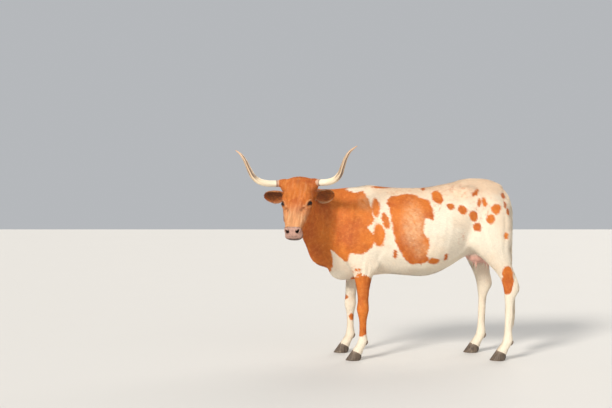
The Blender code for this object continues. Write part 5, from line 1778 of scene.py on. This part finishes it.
def hornFinish():
    finish = Finish("horn", Specular_IOR_Level=0.45, Coat_Roughness=0.25)
    along = finish.own("along")
    place = finish.place()
    around = finish.add("ShaderNodeAttribute", {"attribute_name": "around"}, output="Vector")
    streak = finish.noise(finish.stretch(around, (15.0, 15.0, 1.6)), 1.0, 4.0, 0.6, 0.4)
    thread = finish.noise(finish.stretch(around, (120.0, 120.0, 5.0)), 1.0, 3.0, 0.6)
    cloud = finish.noise(place, 16.0, 3.0)
    stops = [(0.0, (0.560, 0.320, 0.200)), (0.052, (0.600, 0.360, 0.240)), (0.066, (0.240, 0.125, 0.085)),
             (0.088, (0.870, 0.780, 0.600)), (0.38, (0.850, 0.700, 0.490)), (0.50, (0.760, 0.570, 0.370)),
             (0.60, (0.640, 0.450, 0.280)), (0.76, (0.600, 0.410, 0.250)), (0.88, (0.700, 0.460, 0.280)),
             (1.0, (0.640, 0.380, 0.230))]
    shift = (cloud - 0.5) * 0.12 * along.rise(0.06, 0.40)
    colour = finish.add("ShaderNodeValToRGB", {"stops": stops}, {0: along + shift})
    upper = along.rise(0.34, 0.50) * (1 - along.rise(0.80, 0.94))
    colour = finish.blend(streak.rise(0.47, 0.55) * (0.12 + 0.78 * upper), colour, (0.120, 0.070, 0.055))
    colour = finish.blend(thread.rise(0.50, 0.72) * 0.28, colour, (0.360, 0.255, 0.180))
    rings = finish.add("ShaderNodeTexWave", {"bands_direction": "X"},
                       {"Vector": finish.add("ShaderNodeCombineXYZ", {}, {0: along}), "Scale": 13.0,
                        "Distortion": 1.2, "Detail": 2.0})
    low = 1 - along.rise(0.05, 0.42)
    height = rings * low * 0.8 + thread * 0.35 + streak * 0.25
    finish.set(Base_Color=colour, Roughness=0.42 + 0.16 * thread + 0.10 * low,
               Normal=finish.bump(height, 0.0007, 0.7), Coat_Weight=0.12 + 0.10 * upper)
    return finish.material


def hoofFinish():
    finish = Finish("hoof", Specular_IOR_Level=0.4)
    place = finish.place()
    streak = finish.noise(finish.stretch(place, (160.0, 160.0, 9.0), (0, 0.6, 0)), 1.0, 3.0, 0.6)
    rings = finish.noise(finish.stretch(place, (4.0, 4.0, 260.0), (0, 0.28, 0)), 1.0, 2.0, 0.5)
    cloud = finish.noise(place, 30.0, 3.0)
    height = finish.add("ShaderNodeSeparateXYZ", {}, {0: place}, output=2)
    colour = finish.blend(streak.rise(0.35, 0.68), (0.055, 0.038, 0.028), (0.175, 0.128, 0.092))
    colour = finish.blend(height.rise(0.045, 0.085) * 0.65, colour, (0.260, 0.190, 0.140))
    dust = cloud.rise(0.48, 0.75) * (1 - height.rise(0.0, 0.03)) * 0.8
    colour = finish.blend(dust, colour, (0.300, 0.240, 0.170))
    bumped = finish.bump(rings * 0.7 + streak * 0.3, 0.0011, 0.8)
    finish.set(Base_Color=colour, Roughness=0.50 + 0.20 * cloud, Normal=bumped)
    return finish.material


def eyeFinish():
    finish = Finish("eye", Specular_IOR_Level=0.1, Coat_Roughness=0.03, Coat_IOR=1.45)
    iris, pupil, turn = finish.own("iris"), finish.own("pupil"), finish.own("turn")
    ray = finish.noise(finish.add("ShaderNodeCombineXYZ", {}, {0: turn * 9.0, 1: iris * 2.0}), 1.0, 3.0)
    vein = finish.noise(finish.place(), 190.0, 3.0, 0.6, 0.8)
    brown = finish.blend(ray.rise(0.3, 0.7), (0.008, 0.004, 0.003), (0.026, 0.011, 0.006))
    brown = finish.blend(iris.rise(0.80, 0.98), brown, (0.006, 0.003, 0.003))
    white = finish.blend(vein.rise(0.55, 0.70) * 0.5, (0.200, 0.145, 0.115), (0.160, 0.050, 0.036))
    white = finish.blend(iris.rise(1.0, 1.5), (0.040, 0.022, 0.016), white)
    colour = finish.blend(iris.rise(0.97, 1.04), brown, white)
    colour = finish.blend(1 - pupil.rise(0.94, 1.02), colour, (0.004, 0.004, 0.006))
    finish.set(Base_Color=colour, Roughness=0.10, Coat_Weight=0.45)
    return finish.material


def switchFinish():
    finish = Finish("switch", Specular_IOR_Level=0.35, Sheen_Weight=0.1)
    strand, tip = finish.own("strand"), finish.own("tip")
    colour = finish.blend(strand, (0.620, 0.500, 0.360), (0.820, 0.740, 0.620))
    colour = finish.blend((1 - tip) * 0.35, colour, (0.380, 0.240, 0.140))
    finish.set(Base_Color=colour, Roughness=0.48 + strand * 0.15)
    return finish.material


skinFinish = hideFinish("hide", False)
coatFinish = hideFinish("coat", True)
fleshNodes = ["head", "neck", "torso", "ear_left", "ear_right", "tail", "udder", *legs["stance"]]


def allTufts(body):
    root, normal, uv = growTufts(body)
    paints = markingsAt(root, normal)
    verts, lie = tuftShapes(root, normal)
    face = headDistance(root) < 0.36
    made = 0
    for label, chosen in (("face_coat", np.flatnonzero(face)), ("body_coat", np.flatnonzero(~face))):
        order = chosen[np.argsort(root[chosen, 0], kind="stable")]
        parts = max(1, math.ceil(len(order) / coat["most"]))
        for k, some in enumerate(np.array_split(order, parts)):
            own = {key: values[some] for key, values in paints.items()}
            slot = "hide_red" if label == "face_coat" else "hide_white"
            name, forms = f"{label}_{k + 1}", (verts[some], normal[some], lie[some], uv[some])
            coatPiece(name, *forms, own, coatFinish, slot)
            made += len(some) * 3  # a blade is one square and one triangle
    stage(f"coat made, {made} triangles")


allTufts(body)
finishPiece(body, skinFinish, "hide_white", *fleshNodes)


# Horns
def makeHorn(side):
    points, radii = hornLine(side, horn["rows"], horn["step"])
    obj = tube("horn_left_sheath" if side > 0 else "horn_right_sheath", points, radii, horn["sides"])
    found = pointsOf(obj.data)
    line = [np.array(point) for point in points]
    _, share = lineDistance(found, line)
    steps = share * (len(line) - 1)
    spine = np.column_stack([np.interp(steps, range(len(line)), values) for values in np.array(line).T])
    seen = (share - horn["hidden"][side]) / (1 - horn["hidden"][side])
    rings = np.sin(seen * 150 + 1.5 * waves(found, 0.08, 20)) * (1 - ease(seen, 0.02, 0.34)) * 0.00035
    grain = 0.00025 * waves(found, 0.02, 21)
    outward = unit(found - spine)
    setPoints(obj.data, found + outward * (rings + grain - 0.0004)[:, None])
    keepAttribute(obj.data, "along", seen)
    keepAttribute(obj.data, "around", np.column_stack([outward[:, :2] * 0.1, seen]), "FLOAT_VECTOR")
    return finishPiece(obj, hornMaterial, "horn", "horn_left" if side > 0 else "horn_right")


hornMaterial = hornFinish()
for side in (-1, 1):
    makeHorn(side)
stage("horns made")

# Eyes: a ball with a slight bulge over the iris, and a pupil that lies across
eyeball = {
    "iris": 0.0142,
    "pupil": (0.0066, 0.0036),
    "pupilPower": 2.6,
    "bulge": 0.0009,
    "clear": 0.985,  # of its radius, so that the lids lie clear of it
    "segments": 64,
}


def makeEye(side):
    centre, look, line, upper = eyeFrame(side)
    turn = Matrix((line, upper, look)).transposed()
    name = "eyeball_left" if side > 0 else "eyeball_right"
    obj = ball(name, (0, 0, 0), (1, 1, 1), Matrix.Identity(3), eyeball["segments"])
    found = unit(pointsOf(obj.data)) * eye["radius"]
    r = np.hypot(found[:, 0], found[:, 1])
    ahead = found[:, 2] > 0
    iris = np.where(ahead, r / eyeball["iris"], 3.0)
    power = eyeball["pupilPower"]
    long, high = np.abs(found[:, :2] / eyeball["pupil"]).T
    pupil = np.where(ahead, (long**power + high**power) ** (1 / power), 3.0)
    keepAttribute(obj.data, "iris", iris)
    keepAttribute(obj.data, "pupil", np.minimum(pupil, 3))
    keepAttribute(obj.data, "turn", np.arctan2(found[:, 1], found[:, 0]) / math.pi)
    bulge = (eyeball["bulge"] / eye["radius"]) * (1 - ease(iris, 0.6, 1.15))
    found = found * (1 + bulge)[:, None] * eyeball["clear"]
    setPoints(obj.data, found @ np.array(turn).T + np.array(centre))
    return finishPiece(obj, eyeMaterial, "eye", "eye_left" if side > 0 else "eye_right")


eyeMaterial = eyeFinish()
for side in (-1, 1):
    makeEye(side)
stage("eyes made")


# Hooves: two claws and two dewclaws to a foot
def clawSolid(leg, outward):
    front, back, point, normal = coronet(leg)
    _, _, _, inner, outer, _ = legRow(leg, hoof["backRow"])
    middle = legs["stance"][leg][1] * (inner + outer) / 2
    rings = []
    for z, spread in hoof["rings"]:
        toe = front - (hoof["front"] - z) / math.tan(math.radians(hoof["toeSlope"])) - 0.001
        heel = back - (hoof["back"] - z) / math.tan(math.radians(hoof["heelSlope"]))
        heel -= hoof["heelTuck"] * (ease(z, 0.022, 0.050) + 0.5 * (1 - ease(z, 0.0, 0.012)))
        half, width = (heel - toe) / 2, hoof["width"] * spread
        base = Vector(((heel + toe) / 2, middle + outward * hoof["cleft"] / 2, z))
        halves = (half, half, width, 0.0005)  # almost flat on the side of the cleft
        rearward, aside = Vector((1, 0, 0)), Vector((0, outward, 0))
        ring = ringPoints(base, rearward, aside, halves, hoof["powers"], hoof["sides"])
        for spot in ring:
            ahead = max(0, (base.x - spot.x) / half)
            spot.y -= hoof["pinch"] * ahead * ahead * (spot.y - base.y)
        rings.append(ring)
    made = loft("claw", rings)
    bm = openMesh(made.data)
    geom = bm.verts[:] + bm.edges[:] + bm.faces[:]
    bmesh.ops.bisect_plane(bm, geom=geom, plane_co=point + normal * 0.002, plane_no=normal, clear_outer=True)
    fillHoles(bm)
    closeMesh(bm, made.data)
    return made


def dewclawSolid(leg, outward):
    _, _, back, inner, outer, _ = legRow(leg, hoof["dewclawRow"])
    x = back + legShift(hoof["dewclawRow"], leg) - hoof["dewclawSet"]
    y = legs["stance"][leg][1] * (inner + outer) / 2 + outward * hoof["dewclawSpread"]
    height, tip = hoof["dewclawHeight"], hoof["dewclawTip"]
    made = ball("dewclaw", (x, y, height), hoof["dewclawRadii"], turned(hoof["dewclawLean"], "Y"), 24)
    found = pointsOf(made.data)
    share = ease(found[:, 2], height - 0.024, height + 0.016)[:, None]
    middle = np.array([x, y, 0]) + found * (0, 0, 1)
    setPoints(made.data, middle + (found - middle) * (tip + (1 - tip) * share))
    return made


def makeHooves(leg):
    solids = [make(leg, outward) for make in (clawSolid, dewclawSolid) for outward in (-1, 1)]
    obj = joinObjects(f"{leg}_hooves", solids)
    nodes = [f"{leg}_{part}_{place}" for part in ("claw", "dewclaw") for place in ("inner", "outer")]
    finishPiece(obj, hoofMaterial, "hoof", *nodes)
    obj.data.set_sharp_from_angle(angle=math.radians(50))


hoofMaterial = hoofFinish()
for leg in legs["stance"]:
    makeHooves(leg)
stage("hooves made")

# Tail switch: fine locks that leave the end of the tail and hang
switch = {
    "top": 0.606,
    "locks": 620,
    "lowest": 0.205,
    "length": (0.16, 0.37),
    "spread": 0.034,
    "halfWidth": (0.0012, 0.0030),
    "steps": 9,
}


def makeSwitch():
    count, steps = switch["locks"], switch["steps"]
    height = switch["top"] - 0.15 * rng.random(count) ** 1.3
    turn = rng.uniform(0, 2 * math.pi, count)
    outward = np.column_stack([np.cos(turn), np.sin(turn), np.zeros(count)])
    sideways = np.column_stack([-np.sin(turn), np.cos(turn), np.zeros(count)])
    length = rng.uniform(*switch["length"], count)
    length = np.minimum(length, height - switch["lowest"] - 0.03 * rng.random(count))
    reach = switch["spread"] * rng.random(count) ** 0.7
    curl = rng.normal(0, 0.006, count)
    half = rng.uniform(*switch["halfWidth"], count)
    middle = np.column_stack([np.full(count, 1.6285), np.zeros(count), height])
    share = np.linspace(0, 1, steps)
    bulge = np.interp(share, [0, 0.24, 0.55, 0.82, 1.0], [0.0, 0.7, 1.0, 0.85, 0.55])
    line = middle[:, None] + outward[:, None] * (0.009 + reach[:, None] * bulge)[:, :, None]
    line = line + sideways[:, None] * (curl[:, None] * np.sin(share * 5))[:, :, None]
    line[:, :, 2] -= length[:, None] * share
    wide = half[:, None] * np.interp(share, [0, 0.3, 0.75, 1.0], [0.7, 1.0, 0.8, 0.05])
    left = line - sideways[:, None] * wide[:, :, None]
    right = line + sideways[:, None] * wide[:, :, None]
    ridge = line + outward[:, None] * (wide * 0.55)[:, :, None]
    verts = np.stack([left, ridge, right], axis=2).reshape(count, steps * 3, 3)
    quads = []
    for k in range(steps - 1):
        a = k * 3
        quads += [[a, a + 1, a + 4, a + 3], [a + 1, a + 2, a + 5, a + 4], [a + 2, a, a + 3, a + 5]]
    faces = (np.arange(count)[:, None, None] * steps * 3 + np.array(quads)).reshape(-1, 4)
    mesh = bpy.data.meshes.new("switch_locks")
    mesh.from_pydata(verts.reshape(-1, 3).tolist(), [], faces.tolist())
    mesh.update()
    keepAttribute(mesh, "strand", np.repeat(rng.random(count), steps * 3))
    keepAttribute(mesh, "tip", np.tile(np.repeat(share, 3), count))
    return finishPiece(placeObject("switch_locks", mesh), switchFinish(), "hide_white", "tail_switch")


makeSwitch()
stage("switch made")

# Floor, lights and camera
studio = {
    "floor": (0.640, 0.626, 0.604),
    "floorCloud": (0.55, 0.54, 0.52),
    "floorSize": 14,
    "sky": (0.93, 0.96, 1.0),
    "world": 0.50,
    # strength, how wide it looks in radians, and the side it comes from
    "key": (3.25, 0.25, (-3.8, -4.9, 4.7)),
    "fill": (0.60, 1.2, (4.6, -5.0, 2.8)),
    "rim": (1.45, 0.8, (3.0, 4.6, 4.2)),
    "warmth": (1.0, 0.95, 0.87),
    "cameraPlace": (0.0, -8.1, 1.606),
    "cameraLens": 60,
    "cameraDrop": 49 / 1020,
}


def makeFloor():
    bm = bmesh.new()
    bmesh.ops.create_grid(bm, x_segments=1, y_segments=1, size=studio["floorSize"])
    floor = newObject("floor", bm)
    finish = Finish("floor", Specular_IOR_Level=0.2)
    cloud = finish.noise(finish.place(), 1.5, 4.0)
    shade = finish.blend(cloud * 0.08, studio["floor"], studio["floorCloud"])
    finish.set(Base_Color=shade, Roughness=0.75 + 0.1 * cloud)
    floor.data.materials.append(finish.material)
    floor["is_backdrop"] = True


def makeLight(name, power, size, place):
    lamp = bpy.data.lights.new(name, "SUN")
    lamp.energy, lamp.angle, lamp.color = power, size, studio["warmth"]
    obj = placeObject(name, lamp)
    obj.location = place
    obj.rotation_euler = (Vector((0, 0, 0.9)) - Vector(place)).to_track_quat("-Z", "Y").to_euler()


def makeStudio():
    makeFloor()
    world = bpy.data.worlds.new("studio")
    world.use_nodes = True
    background = world.node_tree.nodes["Background"]
    background.inputs[0].default_value = (*studio["sky"], 1)
    background.inputs[1].default_value = studio["world"]
    bpy.context.scene.world = world
    bpy.context.scene.view_settings.view_transform = "Standard"
    for name in ("key", "fill", "rim"):
        makeLight(name, *studio[name])
    camera = placeObject("camera", bpy.data.cameras.new("camera"))
    camera.data.lens = studio["cameraLens"]
    camera.location = Vector(studio["cameraPlace"]) - boxCentre
    camera.rotation_euler = (math.radians(90) - math.atan(studio["cameraDrop"]), 0, 0)
    bpy.context.scene.camera = camera


makeStudio()
visualLow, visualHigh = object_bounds()
for corner, (cad, seen) in enumerate(zip(cadBounds, (visualLow, visualHigh))):
    words = [round(1000 * (b - a), 1) for a, b in zip(cad, seen)]
    print("visual box beyond the CAD box, low corner" if corner == 0 else "and high corner", words, "mm")
